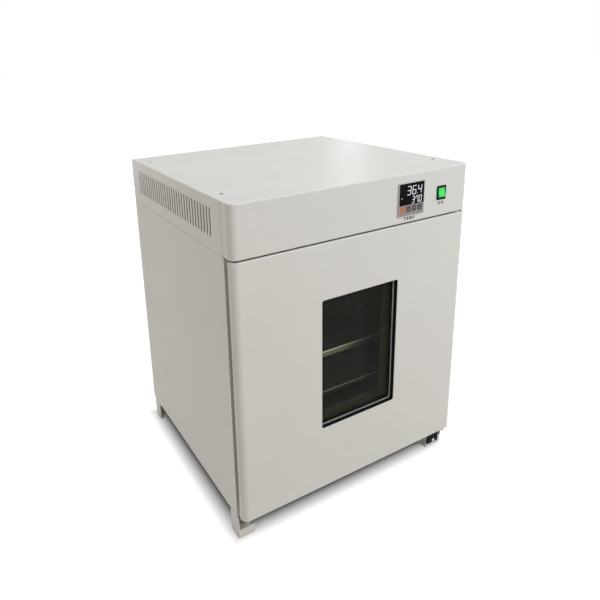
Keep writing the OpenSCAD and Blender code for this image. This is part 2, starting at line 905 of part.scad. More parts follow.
module door_liner() {
    color(steel) in_place() difference() {
        union() {
            span([-in_w / 2, door_return - liner_t, door_z + sheet], [in_w / 2, door_return, door_top - sheet]);
            upright(plug_w, plug_h, liner_r, door_return, plug_reach, 0, chamber_mid);
        }
        upright(plug_w - 2 * liner_t, plug_h - 2 * liner_t, liner_r - liner_t,
            door_return - liner_t - 1, plug_reach - liner_t, 0, chamber_mid);
        window_hole(0, plug_reach - 5, plug_reach + 1);
        for (p = liner_screws)
            translate([p[0], door_return + 1, p[1]]) rotate([90, 0, 0]) cylinder(r = liner_screw_r, h = liner_t + 2);
    }
}

module door_insulation() {
    gap = 0.2;
    side = sheet + gap;
    back = door_return - liner_t;
    color(wool) in_place() difference() {
        union() {
            translate([0, side, door_z + side])
                folded_front(body_w - 2 * side, back - side, door_h - 2 * side, corner_r - side, 1);
            upright(plug_w - 2 * liner_t, plug_h - 2 * liner_t, liner_r - liner_t,
                back, plug_reach - liner_t, 0, chamber_mid);
        }
        window_hole(seal_wall, 0, plug_reach + 1);
        bush_holes(bush_r + fit);
    }
}

// The magnetic gasket: a base, a narrow bellows and a sealing head.
module door_gasket() {
    w = body_w - 2 * gasket_in;
    h = door_h - 2 * (gasket_in - 5);
    mid = door_z + door_h / 2;
    color("#3b3c3a") in_place() {
        ring(w, h, 8, 14, door_return, door_return + 4, mid);
        ring(w - 8, h - 8, 6, 6, door_return + 4 - eps, frame_y - 5, mid);
        ring(w - 2, h - 2, 8, 12, frame_y - 5 - eps, frame_y - fit, mid);
    }
}

module door_liner_screws() {
    color(zinc) in_place()
        for (p = liner_screws)
            translate([p[0], door_return, p[1]]) rotate([-90, 0, 0]) screw(4, 1.8, liner_screw_r, liner_t);
}

// The black rubber reveal in front, which also holds the outer pane.
module window_seal_outer() {
    color(black) in_place() difference() {
        union() {
            difference() {
                window_hole(seal_wall, sheet, seal_end);
                window_hole(-1, sheet - 1, seal_end + 1);
            }
            ring(window_w + 2 * glass_in, window_h + 2 * glass_in, window_r, glass_in + 5.5,
                glass_y - 1, glass_y, window_z);
        }
        window_hole(glass_in, glass_y, glass_y + glass_t);
    }
}

module window_seal_inner() {
    color(black) in_place() difference() {
        window_hole(seal_wall, inner_seal_y, plug_reach - liner_t);
        window_hole(-1, inner_seal_y - 1, plug_reach);
        window_hole(glass_in, inner_glass_y, inner_glass_y + glass_t);
    }
}

module window_sleeve() {
    color(dark_steel) in_place() difference() {
        window_hole(1, seal_end, inner_seal_y);
        window_hole(0, seal_end - 1, inner_seal_y + 1);
    }
}

module window_trim() {
    color("#d8d8d6") in_place()
        ring(window_w - 2, window_h - 2, 8, 2.6, glass_y - 3, glass_y - 1, window_z);
}

module pane(y) {
    window_hole(glass_in, y, y + glass_t);
}

module glass_outer() {
    color("#20282680") in_place() pane(glass_y);
}

module glass_inner() {
    color("#20282680") in_place() pane(inner_glass_y);
}

module hinge_bush(z) {
    color("#b08d4a") in_place() translate([pivot_x, pivot_deep, z]) difference() {
        cylinder(r = bush_r, h = bush_l);
        translate([0, 0, -1]) cylinder(r = pin_r + pin_clear, h = bush_l + 2);
    }
}

module hinge_bush_upper() {
    hinge_bush(door_top - bush_l);
}

module hinge_bush_lower() {
    hinge_bush(door_z);
}

side_panel_left();
side_panel_right();
back_panel();
back_panel_screws();
base_panel();
front_frame();
chamber_liner();
insulation_left();
insulation_right();
insulation_top();
insulation_bottom();
insulation_rear();
control_deck();
top_cover();
top_cover_screws();
control_fascia();
controller_body();
controller_display();
controller_clamp();
key_set();
key_shift();
key_down();
key_up();
switch_housing();
switch_rocker();
solid_state_relay();
terminal_block();
cable_gland();
foot_front_left();
foot_front_right();
foot_rear_left();
foot_rear_right();
hinge_bracket_lower();
hinge_bracket_screw();
hinge_pin_lower();
hinge_plate_upper();
hinge_pin_upper();
heating_element();
heater_brackets();
chamber_floor();
temperature_probe();
rack_left();
rack_right();
shelf_runners_upper();
shelf_runners_lower();
shelf_upper();
shelf_lower();
door_shell();
door_liner();
door_insulation();
door_gasket();
door_liner_screws();
window_seal_outer();
window_seal_inner();
window_sleeve();
window_trim();
glass_outer();
glass_inner();
hinge_bush_upper();
hinge_bush_lower();
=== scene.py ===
# %% [markdown]
# # A laboratory incubator
#
# The object is a warm cupboard for a laboratory bench: a powder-coated steel cabinet on four folded feet,
# with one windowed door and a control box on top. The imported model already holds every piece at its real
# place and size. This notebook gives each piece its finish, and remodels those whose edges, folds and small
# forms catch the eye.

# %% Load the frame
import json
from math import radians

import bmesh
import bpy
from mathutils import Matrix, Vector


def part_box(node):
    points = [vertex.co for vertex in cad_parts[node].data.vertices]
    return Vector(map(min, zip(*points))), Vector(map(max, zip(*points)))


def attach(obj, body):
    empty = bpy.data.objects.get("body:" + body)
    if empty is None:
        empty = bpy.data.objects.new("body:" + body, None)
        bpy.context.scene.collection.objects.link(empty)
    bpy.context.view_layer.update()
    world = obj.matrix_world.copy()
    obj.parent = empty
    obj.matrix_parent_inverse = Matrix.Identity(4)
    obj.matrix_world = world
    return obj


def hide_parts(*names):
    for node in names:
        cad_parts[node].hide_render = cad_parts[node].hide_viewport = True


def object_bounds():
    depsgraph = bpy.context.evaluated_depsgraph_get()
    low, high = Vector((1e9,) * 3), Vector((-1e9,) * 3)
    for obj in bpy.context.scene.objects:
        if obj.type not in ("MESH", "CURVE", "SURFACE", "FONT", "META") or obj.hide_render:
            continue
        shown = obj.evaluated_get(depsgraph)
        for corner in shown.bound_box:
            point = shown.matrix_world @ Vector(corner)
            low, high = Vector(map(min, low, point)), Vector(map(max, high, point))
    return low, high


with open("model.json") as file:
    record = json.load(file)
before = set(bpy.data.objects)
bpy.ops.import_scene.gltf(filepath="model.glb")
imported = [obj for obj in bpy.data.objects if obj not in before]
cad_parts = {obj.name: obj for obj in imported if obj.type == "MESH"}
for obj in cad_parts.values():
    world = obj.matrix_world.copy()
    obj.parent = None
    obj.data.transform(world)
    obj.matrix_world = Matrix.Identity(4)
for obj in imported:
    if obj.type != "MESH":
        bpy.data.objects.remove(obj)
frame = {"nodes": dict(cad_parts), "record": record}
cad_low, cad_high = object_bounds()
scene = bpy.context.scene
MM = 0.001
print(f"{len(frame['nodes'])} nodes, {(cad_high - cad_low) * 1000} mm")

# %% [markdown]
# ## Camera
#
# The photograph was taken from the left and a little above, with a wide lens that makes the uprights draw
# together towards the feet. The position, the lens and a slight roll were worked out from the cabinet's
# corners. The small shift moves the picture without turning the camera, as a shift lens does, so the
# uprights keep their slant.

# %% Make the camera
CAMERA_PLACE = (-0.71, -1.1247, 1.0038)
CAMERA_TURN = 29.06
CAMERA_DOWN = 16.39
CAMERA_ROLL = -1.94


def put(name, data):
    """A new object in the scene that shows this data."""
    item = bpy.data.objects.new(name, data)
    scene.collection.objects.link(item)
    return item


camera_data = bpy.data.cameras.new("camera")
camera_data.sensor_width = 36
camera_data.lens = 33.59
camera_data.shift_x = 0.07
camera_data.shift_y = -0.14
camera = put("camera", camera_data)
camera.matrix_world = (
    Matrix.Translation(CAMERA_PLACE)
    @ Matrix.Rotation(radians(-CAMERA_TURN), 4, "Z")
    @ Matrix.Rotation(radians(90 - CAMERA_DOWN), 4, "X")
    @ Matrix.Rotation(radians(CAMERA_ROLL), 4, "Z")
)
scene.camera = camera
scene.view_settings.view_transform = "Standard"
print("camera at", CAMERA_PLACE, "with a", camera_data.lens, "mm lens")

# %% [markdown]
# ## Colours and nodes
#
# A screen colour such as #CDCCC7 is coded for the eye, and a shader wants the linear amount of light, so
# one function turns the first into the second. Another adds a node with its settings and its links in one
# call, which keeps each material short enough to read. Patterns are drawn at a real size: a texture's scale
# counts the features in one metre, so it is worked out from a size in millimetres.

# %% Helpers for materials
def linear(code):
    """The linear colour of an sRGB code such as #cdccc7."""
    channels = [int(code[i:i + 2], 16) / 255 for i in (1, 3, 5)]
    return (*[c / 12.92 if c <= 0.04045 else ((c + 0.055) / 1.055) ** 2.4 for c in channels], 1)


def feed(tree, node, sockets):
    """Gives each named or numbered input a value, or a link from the output that feeds it."""
    for socket, value in sockets.items():
        if isinstance(value, bpy.types.NodeSocket):
            tree.links.new(value, node.inputs[socket])
        else:
            node.inputs[socket].default_value = value


def add(tree, kind, sockets=None, **settings):
    """Adds a shader node of this kind with its settings, and feeds its inputs."""
    node = tree.nodes.new("ShaderNode" + kind)
    for name, value in settings.items():
        setattr(node, name, value)
    feed(tree, node, sockets or {})
    return node


def every(size_mm):
    """The scale of a texture whose features are size_mm apart."""
    return 1 / (size_mm * MM)


def start(name, colour, roughness, metallic=0.0, **sockets):
    """A new material with one Principled shader, and the piece's own coordinates for its patterns."""
    material = bpy.data.materials.new(name)
    material.use_nodes = True
    tree = material.node_tree
    shader = tree.nodes["Principled BSDF"]
    feed(tree, shader, {"Base Color": linear(colour), "Roughness": roughness, "Metallic": metallic})
    feed(tree, shader, {socket.replace("_", " "): value for socket, value in sockets.items()})
    place = add(tree, "TexCoord").outputs["Object"]
    return material, tree, shader, place


print("white is", linear("#ffffff"))

# %% [markdown]
# ## Powder coat
#
# The cabinet is sprayed with dry polyester powder that melts in an oven into a tough skin with a soft shine
# and a faint orange peel. A flat grey would look like card, so three things vary: the tone drifts a little
# over the sheet, the shine changes where hands have wiped it, and two bumps bend the reflections. The peel
# is drawn at 5 mm, because the real 2 mm is finer than a pixel. The long wave is the thin sheet itself,
# which is never quite flat.

# %% Powder coat
def make_powder_coat():
    material, tree, shader, place = start("powder_coat", "#d3d2cc", 0.36, IOR=1.5)
    drift = add(tree, "TexNoise", {"Vector": place, "Scale": every(140), "Detail": 2.0})
    tone = add(tree, "Mix", {0: drift.outputs["Fac"], 6: linear("#d6d5d0"), 7: linear("#cfcec9")},
               data_type="RGBA")
    wiped = add(tree, "TexNoise", {"Vector": place, "Scale": every(60), "Detail": 4.0})
    shine = add(tree, "MapRange", {"Value": wiped.outputs["Fac"], "To Min": 0.3, "To Max": 0.42})
    peel = add(tree, "TexNoise", {"Vector": place, "Scale": every(5), "Detail": 1.0})
    wave = add(tree, "TexNoise", {"Vector": place, "Scale": every(260), "Detail": 1.0})
    long_bump = add(tree, "Bump", {"Height": wave.outputs["Fac"], "Strength": 0.5, "Distance": 3 * MM})
    bump = add(tree, "Bump", {"Height": peel.outputs["Fac"], "Strength": 0.25, "Distance": 0.06 * MM,
                              "Normal": long_bump.outputs["Normal"]})
    feed(tree, shader, {"Base Color": tone.outputs[2], "Roughness": shine.outputs["Result"],
                        "Normal": bump.outputs["Normal"]})
    return material


powder_coat = make_powder_coat()
print("made", powder_coat.name)

# %% [markdown]
# ## Stainless steel and other bare metals
#
# The chamber, racks and shelves are stainless sheet with a brushed finish. Brushing leaves fine lines, so
# the noise is stretched along X into streaks that change both the shine and the height. The chamber's own
# sheet is duller and a little yellow, and the shelves have an even satin finish. Both are darker than clean
# stainless, which paints the shade inside the closed chamber. Plated, oxidised and sintered metals have no
# lines but soft patches of two tones, such as the spangle of zinc-coated sheet.

# %% Stainless steel and other bare metals
def make_brushed_metal(name, colour, roughness, line_mm, lines_along=(0.02, 1, 1), anisotropic=0.35):
    """Sheet with fine lines, which run along the axis where lines_along is small."""
    material, tree, shader, place = start(name, colour, roughness, 1.0, Anisotropic=anisotropic)
    stretched = add(tree, "Mapping", {"Vector": place, "Scale": lines_along})
    lines = add(tree, "TexNoise", {"Vector": stretched.outputs[0], "Scale": every(line_mm), "Detail": 3.0})
    shine = add(tree, "MapRange", {"Value": lines.outputs["Fac"], "To Min": roughness - 0.08,
                                   "To Max": roughness + 0.1})
    bump = add(tree, "Bump", {"Height": lines.outputs["Fac"], "Strength": 0.15, "Distance": 0.05 * MM})
    feed(tree, shader, {"Roughness": shine.outputs["Result"], "Normal": bump.outputs["Normal"]})
    return material


def make_patchy_metal(name, light, dark, roughness, patch_mm):
    """Plated, oxidised or cast metal: two tones in soft patches."""
    material, tree, shader, place = start(name, light, roughness, 1.0)
    patch = add(tree, "TexNoise", {"Vector": place, "Scale": every(patch_mm), "Detail": 5.0})
    tone = add(tree, "Mix", {0: patch.outputs["Fac"], 6: linear(light), 7: linear(dark)}, data_type="RGBA")
    shine = add(tree, "MapRange", {"Value": patch.outputs["Fac"], "To Min": roughness - 0.07,
                                   "To Max": roughness + 0.12})
    feed(tree, shader, {"Base Color": tone.outputs[2], "Roughness": shine.outputs["Result"]})
    return material


chamber_steel = make_brushed_metal("brushed_stainless_steel", "#a5a49d", 0.36, 1.5)
# The chamber's sheet is darker than clean stainless: painted shade for the closed chamber.
liner_steel_painted_shade = make_brushed_metal("liner_stainless_painted_shade", "#8a8370", 0.62, 1.5)
# The shelf steel is darker than clean stainless too: painted shade inside the chamber.
shelf_steel_painted_shade = make_brushed_metal("shelf_stainless_painted_shade", "#7c7a72", 0.33, 1.5, anisotropic=0.0)
bright_trim = make_brushed_metal("satin_anodised_aluminium", "#efefec", 0.45, 0.8, (0.05, 1, 0.05), 0.0)
sleeve_dark = make_brushed_metal("dark_bronze_anodised_aluminium", "#625c4a", 0.55, 1.0, (1, 0.05, 1), 0.1)
zinc_plate = make_patchy_metal("bright_zinc_plate", "#c3c6c8", "#a9a79c", 0.3, 7)
# A dark grey sheet for the deck, darker than real zinc-coated steel: painted shade behind the cover's slots.
deck_sheet_painted_shade = make_patchy_metal("spangled_deck_sheet_painted_shade", "#47494a", "#333537", 0.55, 18)
heater_sheath = make_patchy_metal("oxidised_heater_sheath", "#77716a", "#4c4742", 0.45, 12)
bronze = make_patchy_metal("sintered_bronze", "#a87b45", "#7c5a33", 0.42, 3)
print("made metals from", chamber_steel.name, "to", bronze.name)

# %% [markdown]
# ## Rubber, plastics and paint on the hinge
#
# Soft or moulded parts get their look from how rough they are. Rubber is nearly black with a dull bloom.
# Housings carry the fine grain of the mould, drawn at 0.8 mm, because the real one is finer than a pixel.
# The keys are smoother, and the smoked display window is polished. The hinge's enamel and the blackened
# screws are as dark and dull, so the same function makes them. A low specular level keeps the blacks black
# in an all-white room.

# %% Rubber and plastics
def make_moulded(name, colour, roughness, grain_mm, grain_height_mm, tint="#808080", tinted=0.06, **sockets):
    """A matt or satin finish with a fine grain, and a little of the tint in soft clouds."""
    material, tree, shader, place = start(name, colour, roughness, **sockets)
    grain = add(tree, "TexNoise", {"Vector": place, "Scale": every(grain_mm), "Detail": 2.0})
    cloud = add(tree, "TexNoise", {"Vector": place, "Scale": every(grain_mm * 25), "Detail": 3.0})
    amount = add(tree, "Math", {0: cloud.outputs["Fac"], 1: tinted}, operation="MULTIPLY")
    tone = add(tree, "Mix", {0: amount.outputs[0], 6: linear(colour), 7: linear(tint)}, data_type="RGBA")
    shine = add(tree, "MapRange", {"Value": cloud.outputs["Fac"], "To Min": roughness - 0.06,
                                   "To Max": roughness + 0.08})
    bump = add(tree, "Bump", {"Height": grain.outputs["Fac"], "Strength": 0.4,
                              "Distance": grain_height_mm * MM})
    feed(tree, shader, {"Base Color": tone.outputs[2], "Roughness": shine.outputs["Result"],
                        "Normal": bump.outputs["Normal"]})
    return material


black_rubber = make_moulded("black_epdm_rubber", "#0b0b0a", 0.62, 0.8, 0.03, "#4b4a46", 0.03,
                            Specular_IOR_Level=0.06)
gasket_rubber = make_moulded("dark_grey_pvc_gasket", "#2f2e28", 0.55, 1.0, 0.02)
black_oxide = make_moulded("black_oxide_on_steel", "#0a0a09", 0.5, 1.0, 0.01, tinted=0.02,
                           Specular_IOR_Level=0.08)
hinge_black = make_moulded("black_stove_enamel", "#060606", 0.42, 1.5, 0.03, tinted=0.01,
                           Specular_IOR_Level=0.05)
black_plastic = make_moulded("black_abs", "#060606", 0.45, 0.8, 0.02, tinted=0.01, Specular_IOR_Level=0.08)
controller_case = make_moulded("light_grey_abs", "#b4afac", 0.4, 0.8, 0.01)
key_grey = make_moulded("grey_silicone_key", "#3a3836", 0.5, 0.6, 0.01)
key_orange = make_moulded("orange_silicone_key", "#c8673a", 0.5, 0.6, 0.01)
strip_grey = make_moulded("mauve_grey_printed_panel", "#8a8280", 0.45, 0.6, 0.01)
terminal_plastic = make_moulded("ivory_polyamide", "#e3dfd2", 0.45, 1.0, 0.02)
display_black = make_moulded("smoked_polycarbonate", "#040405", 0.14, 6.0, 0.004, tinted=0.01,
                             Specular_IOR_Level=0.05)
print("made finishes from", black_rubber.name, "to", display_black.name)

# %% [markdown]
# ## Insulation wool
#
# Mineral wool fills the walls. It is only seen if somebody takes a panel off, but it is a real piece, so it
# gets its colour and the matted fibres of the slab, stretched along the slab as they lie.

# %% Insulation wool
def make_wool():
    material, tree, shader, place = start("mineral_wool", "#c9b880", 0.95)
    lying = add(tree, "Mapping", {"Vector": place, "Scale": (0.25, 0.25, 1)})
    fibres = add(tree, "TexNoise", {"Vector": lying.outputs[0], "Scale": every(3), "Detail": 8.0,
                                    "Distortion": 1.2})
    tone = add(tree, "Mix", {0: fibres.outputs["Fac"], 6: linear("#ddd0a0"), 7: linear("#96834f")},
               data_type="RGBA")
    bump = add(tree, "Bump", {"Height": fibres.outputs["Fac"], "Strength": 0.8, "Distance": 1.5 * MM})
    feed(tree, shader, {"Base Color": tone.outputs[2], "Normal": bump.outputs["Normal"]})
    return material


wool = make_wool()
print("made", wool.name)

# %% [markdown]
# ## Glass
#
# The window has two panes of toughened float glass with a faint green-grey tint. A glass shader alone would
# block the lamps, and the chamber would turn black. So it is glass only for rays from the camera and
# through glass, and plain tinted film for all others, which is the usual trick for a window. The index is
# 1.115 and not the real 1.52, because this studio is white all round: true panes would mirror it and hide
# the dark chamber.

# %% Glass
def seen_or_through_glass(tree):
    """1 for rays from the camera and rays that come through glass."""
    path = add(tree, "LightPath").outputs
    return add(tree, "Math", {0: path["Is Camera Ray"], 1: path["Is Transmission Ray"]},
               operation="MAXIMUM").outputs[0]


def make_glass():
    material, tree, shader, _ = start("toughened_float_glass", "#e4e5de", 0.0, IOR=1.115,
                                      Transmission_Weight=1.0)
    film = add(tree, "BsdfTransparent", {"Color": linear("#f2f3ed")})
    either = add(tree, "MixShader", {0: seen_or_through_glass(tree), 1: film.outputs[0],
                                     2: shader.outputs[0]})
    feed(tree, tree.nodes["Material Output"], {"Surface": either.outputs[0]})
    return material


window_glass = make_glass()
print("made", window_glass.name)

# %% [markdown]
# ## Lit parts and printed marks
#
# Two control parts shine by themselves: the figures, and the green rocker with a small lamp behind it. An
# even glow would look pasted on, so the rocker's light falls off from its middle. The words and the marks
# on the keys are screen ink, a thin dull layer.

# %% Glowing parts and printed marks
def make_glow(name, colour, strength):
    return start(name, "#2e3034", 0.4, Emission_Color=linear(colour), Emission_Strength=strength)[0]


def make_rocker_green(centre, reach_mm):
    """Clear green plastic whose glow fades from the centre outwards."""
    material, tree, shader, place = start("green_lit_polycarbonate", "#0f9a3a", 0.3, Emission_Strength=0.7)
    middle = add(tree, "Mapping", {"Vector": place, "Location": -centre})
    near = add(tree, "VectorMath", {0: middle.outputs[0]}, operation="LENGTH")
    fall = add(tree, "MapRange", {"Value": near.outputs["Value"], "From Min": 0.0,
                                  "From Max": reach_mm * MM, "To Min": 0.0, "To Max": 1.0})
    glow = add(tree, "Mix", {0: fall.outputs["Result"], 6: linear("#24f25c"), 7: linear("#0a8f33")},
               data_type="RGBA")
    feed(tree, shader, {"Emission Color": glow.outputs[2]})
    return material


def middle_of(node):
    """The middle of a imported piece."""
    low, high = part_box(node)
    return (low + high) / 2


rocker_green = make_rocker_green(middle_of("switch_rocker"), 14)
figure_white = make_glow("white_led_segment", "#f2f5fa", 1.0)
print_ink = make_moulded("dark_screen_ink", "#151514", 0.55, 1.0, 0.002)
mark_pale = make_moulded("pale_screen_ink", "#5e5b58", 0.5, 1.0, 0.002)
print("made the glow and the inks")

# %% [markdown]
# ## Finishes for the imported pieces
#
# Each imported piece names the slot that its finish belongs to. One table joins those slots to the materials
# above, and a loop puts the material in the piece's own slots. Pieces that are remodelled below use the
# same table.

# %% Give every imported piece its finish
finish_of_slot = {
    "powder_coat": powder_coat, "chamber_steel": chamber_steel, "heater_sheath": heater_sheath,
    "wool": wool, "zinc_plate": zinc_plate, "hinge_black": hinge_black, "controller_case": controller_case,
    "display_black": display_black, "black_plastic": black_plastic, "terminal_plastic": terminal_plastic,
    "key_orange": key_orange, "key_grey": key_grey, "rocker_green": rocker_green,
    "black_rubber": black_rubber, "sleeve_dark": sleeve_dark, "bright_trim": bright_trim,
    "dark_glass": window_glass, "bronze": bronze,
}
slot_of = {part["node"]: part["material_slot"] for part in frame["record"]["subparts"]}
body_of = {node: body for body, nodes in frame["record"]["behaviour"]["bodies"].items() for node in nodes}

for node, packed in frame["nodes"].items():
    packed.data.materials.clear()
    packed.data.materials.append(finish_of_slot[slot_of[node]])
print(len(slot_of), "pieces have a finish")

# %% [markdown]
# ## Remodelling helpers
#
# A new piece starts as a bmesh, a mesh that can be edited face by face, and becomes an object that rides on
# a body of the frame. There are two ways to get there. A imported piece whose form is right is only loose
# triangles, so its copy is merged, its flat areas are cleaned and its sharp edges get the small radius that
# every made edge has. A folded or moulded piece is built from a block or an outline. Modifiers are baked
# into the mesh at once, so that the next step can work on it.

# %% Helpers for pieces
def is_sharp(edge, least=50):
    """True where two faces meet at a clear angle."""
    return len(edge.link_faces) == 2 and edge.calc_face_angle(0) > radians(least)


def round_edges(bm, edges, radius_mm, segments):
    """Gives these edges a radius."""
    bmesh.ops.bevel(bm, geom=list(edges), offset=radius_mm * MM, offset_type="OFFSET", segments=segments,
                    profile=0.5, affect="EDGES", material=-1, clamp_overlap=True)


def block(bm, low, high):
    """A plain block between two corners. Returns its vertices."""
    low, high = Vector(low), Vector(high)
    verts = bmesh.ops.create_cube(bm, size=1)["verts"]
    bmesh.ops.scale(bm, vec=high - low, verts=verts)
    bmesh.ops.translate(bm, vec=(low + high) / 2, verts=verts)
    return verts


def turned(bm, outline, place, direction=(0, 0, 1), steps=24):
    """Spins an outline of (radius, height) pairs, in millimetres, round an axis through place."""
    before = set(bm.verts)
    verts = [bm.verts.new((radius * MM, 0, height * MM)) for radius, height in outline]
    edges = [bm.edges.new(pair) for pair in zip(verts, verts[1:])]
    bmesh.ops.spin(bm, geom=verts + edges, cent=(0, 0, 0), axis=(0, 0, 1), dvec=(0, 0, 0),
                   angle=radians(360), steps=steps, use_merge=True, use_duplicate=False)
    made = [vert for vert in bm.verts if vert not in before]
    bmesh.ops.remove_doubles(bm, verts=made, dist=0.001 * MM)
    made = [vert for vert in bm.verts if vert not in before]
    turn = Vector(direction).to_track_quat("Z", "Y").to_matrix().to_4x4()
    bmesh.ops.transform(bm, matrix=Matrix.Translation(place) @ turn, verts=made)


def only_verts(geom):
    """The vertices in an operator's result."""
    return [item for item in geom if isinstance(item, bmesh.types.BMVert)]


def edges_along(verts, axis):
    """The edges of these vertices that run along one axis."""
    edges = {edge for vert in verts for edge in vert.link_edges}
    return [e for e in edges if abs((e.verts[0].co - e.verts[1].co).normalized()[axis]) > 0.999]


def bar(bm, low, high, axis, corner_mm, segments=4):
    """A block with rounded corners along one axis."""
    verts = block(bm, low, high)
    round_edges(bm, edges_along(verts, axis), corner_mm, segments)


made_pieces = []


def as_mesh(bm, name):
    """The bmesh as a mesh that an object can show."""
    mesh = bpy.data.meshes.new(name)
    bm.to_mesh(mesh)
    bm.free()
    return mesh


def mark_sharp(mesh, smooth):
    """Shades smoothly, but not across edges of more than smooth degrees."""
    mesh.shade_smooth()
    mesh.set_sharp_from_angle(angle=radians(smooth))


def finish_piece(mesh, name, node, material=None, stands_for=(), smooth=40):
    """Makes a piece of the mesh. It rides with node, and takes the finish of that node's slot, or material
    if given.
    """
    mesh.materials.clear()
    mesh.materials.append(material or finish_of_slot[slot_of[node]])
    mark_sharp(mesh, smooth)
    piece = put(name, mesh)
    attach(piece, body_of[node])
    if stands_for:
        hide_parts(*stands_for)
    made_pieces.append(piece)
    return piece


def finish_mesh(bm, name, node, material=None, stands_for=(), smooth=40):
    """The same, from a bmesh whose loose ends are merged first."""
    bmesh.ops.remove_doubles(bm, verts=bm.verts, dist=0.001 * MM)
    bmesh.ops.recalc_face_normals(bm, faces=bm.faces)
    return finish_piece(as_mesh(bm, name), name, node, material, stands_for, smooth)


def modify(piece, kind, smooth=40, **settings):
    """Adds one modifier and bakes it into the mesh. smooth marks the sharp edges again."""
    modifier = piece.modifiers.new(kind, kind)
    for name, value in settings.items():
        setattr(modifier, name, value)
    graph = bpy.context.evaluated_depsgraph_get()
    mesh = bpy.data.meshes.new_from_object(piece.evaluated_get(graph))
    piece.modifiers.clear()
    piece.data = mesh
    if not mesh.polygons:
        raise RuntimeError(piece.name + " has no faces left")
    if smooth:
        mark_sharp(mesh, smooth)


def carve(piece, cutter_bm):
    """Cuts the bmesh's shape out of a piece."""
    bmesh.ops.recalc_face_normals(cutter_bm, faces=cutter_bm.faces)
    cutter = put("cutter", as_mesh(cutter_bm, "cutter"))
    modify(piece, "BOOLEAN", operation="DIFFERENCE", solver="EXACT", object=cutter)
    bpy.data.objects.remove(cutter)
    return piece


def soften(piece, radius_mm, wanted):
    """Rounds the sharp edges of a finished piece, where wanted says yes to the middle of the edge."""
    bm = bmesh.new()
    bm.from_mesh(piece.data)
    edges = [e for e in bm.edges if is_sharp(e) and wanted((e.verts[0].co + e.verts[1].co) / 2)]
    round_edges(bm, edges, radius_mm, 2)
    bm.to_mesh(piece.data)
    bm.free()
    piece.data.set_sharp_from_angle(angle=radians(40))


def dressed(node, radius_mm, name=None, material=None, smooth=30):
    """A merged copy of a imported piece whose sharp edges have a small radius. It stands for the node."""
    bm = bmesh.new()
    bm.from_mesh(frame["nodes"][node].data)
    bmesh.ops.remove_doubles(bm, verts=bm.verts, dist=0.005 * MM)
    bmesh.ops.dissolve_limit(bm, angle_limit=radians(0.5), verts=bm.verts, edges=bm.edges)
    mesh = as_mesh(bm, name or node + "_dressed")
    piece = finish_piece(mesh, mesh.name, node, material, (node,), smooth)
    if radius_mm:
        modify(piece, "BEVEL", smooth, width=radius_mm * MM, segments=2, limit_method="ANGLE",
               angle_limit=radians(50), use_clamp_overlap=True)
    return piece


def grown(low, high, mm):
    """The same block, larger by mm on each side."""
    by = Vector((mm * MM,) * 3)
    return low - by, high + by


def inside(low, high, mm):
    """Two places, each mm inside an end."""
    return low + mm * MM, high - mm * MM


print("helpers ready")

# %% [markdown]
# ## Folded fronts
#
# The door skin and the control fascia are each one sheet, folded back at the sides in a wide bend and at
# the top and bottom in a tight one. A block is the quickest start: its two front uprights take the wide
# radius, the outline above and below takes the tight one, and the back is opened. Solidify gives the sheet
# its gauge. The openings are cut last, so that their edges show the cut thickness, which glints round the
# window. A strip of black rubber under the fascia paints the shade in the gap above the door.

# %% Build a folded front
CORNER = 15
FOLD = 2.5


def give_gauge(piece, gauge_mm):
    """Thickens a sheet inwards."""
    modify(piece, "SOLIDIFY", thickness=gauge_mm * MM, offset=-1, use_even_offset=True)


def folded_front(node, gauge_mm, cutter_bm):
    """A front sheet that fills the node's box, with the openings cut out."""
    low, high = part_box(node)
    bm = bmesh.new()
    verts = block(bm, low, high)
    uprights = [e for e in edges_along(verts, 2) if e.verts[0].co.y < (low.y + high.y) / 2]
    round_edges(bm, uprights, CORNER, 14)
    back = [f for f in bm.faces
            if f.normal.y > 0.9 or abs(f.calc_center_median().y - high.y) < 0.01 * MM]
    folds = {e for f in bm.faces if abs(f.normal.z) > 0.9
             for e in f.edges if not set(e.link_faces) & set(back)}
    bmesh.ops.delete(bm, geom=back, context="FACES_ONLY")
    round_edges(bm, folds, FOLD, 6)
    piece = finish_mesh(bm, node + "_sheet", node, stands_for=(node,))
    give_gauge(piece, gauge_mm)
    return carve(piece, cutter_bm)


print("a wide bend of", CORNER, "mm and a tight one of", FOLD, "mm")

# %% Door skin
WINDOW_CORNER, SHEET_OVER_SLEEVE, DOOR_GAUGE = 5, 1, 1.2
CUT = 5 * MM
window_low, window_high = grown(*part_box("window_sleeve"), -SHEET_OVER_SLEEVE)
door_low, door_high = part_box("door_shell")
pivot = middle_of("hinge_bush_lower")
bush_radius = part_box("hinge_bush_lower")[1].x - pivot.x

cutter = bmesh.new()
bar(cutter, (window_low.x, door_low.y - CUT, window_low.z), (window_high.x, door_low.y + CUT, window_high.z),
    1, WINDOW_CORNER, 6)
for z in (door_low.z, door_high.z):
    bmesh.ops.create_cone(cutter, cap_ends=True, segments=32, radius1=bush_radius, radius2=bush_radius,
                          depth=6 * MM, matrix=Matrix.Translation((pivot.x, pivot.y, z)))
door_skin = folded_front("door_shell", DOOR_GAUGE, cutter)
rim_low, rim_high = grown(window_low, window_high, 2)


def round_the_window(point):
    """True for the edges of the opening on the door's face."""
    on_face = point.y < door_low.y + 0.1 * MM
    return on_face and rim_low.x < point.x < rim_high.x and rim_low.z < point.z < rim_high.z


soften(door_skin, 1.0, round_the_window)
print("door skin:", len(door_skin.data.polygons), "faces")

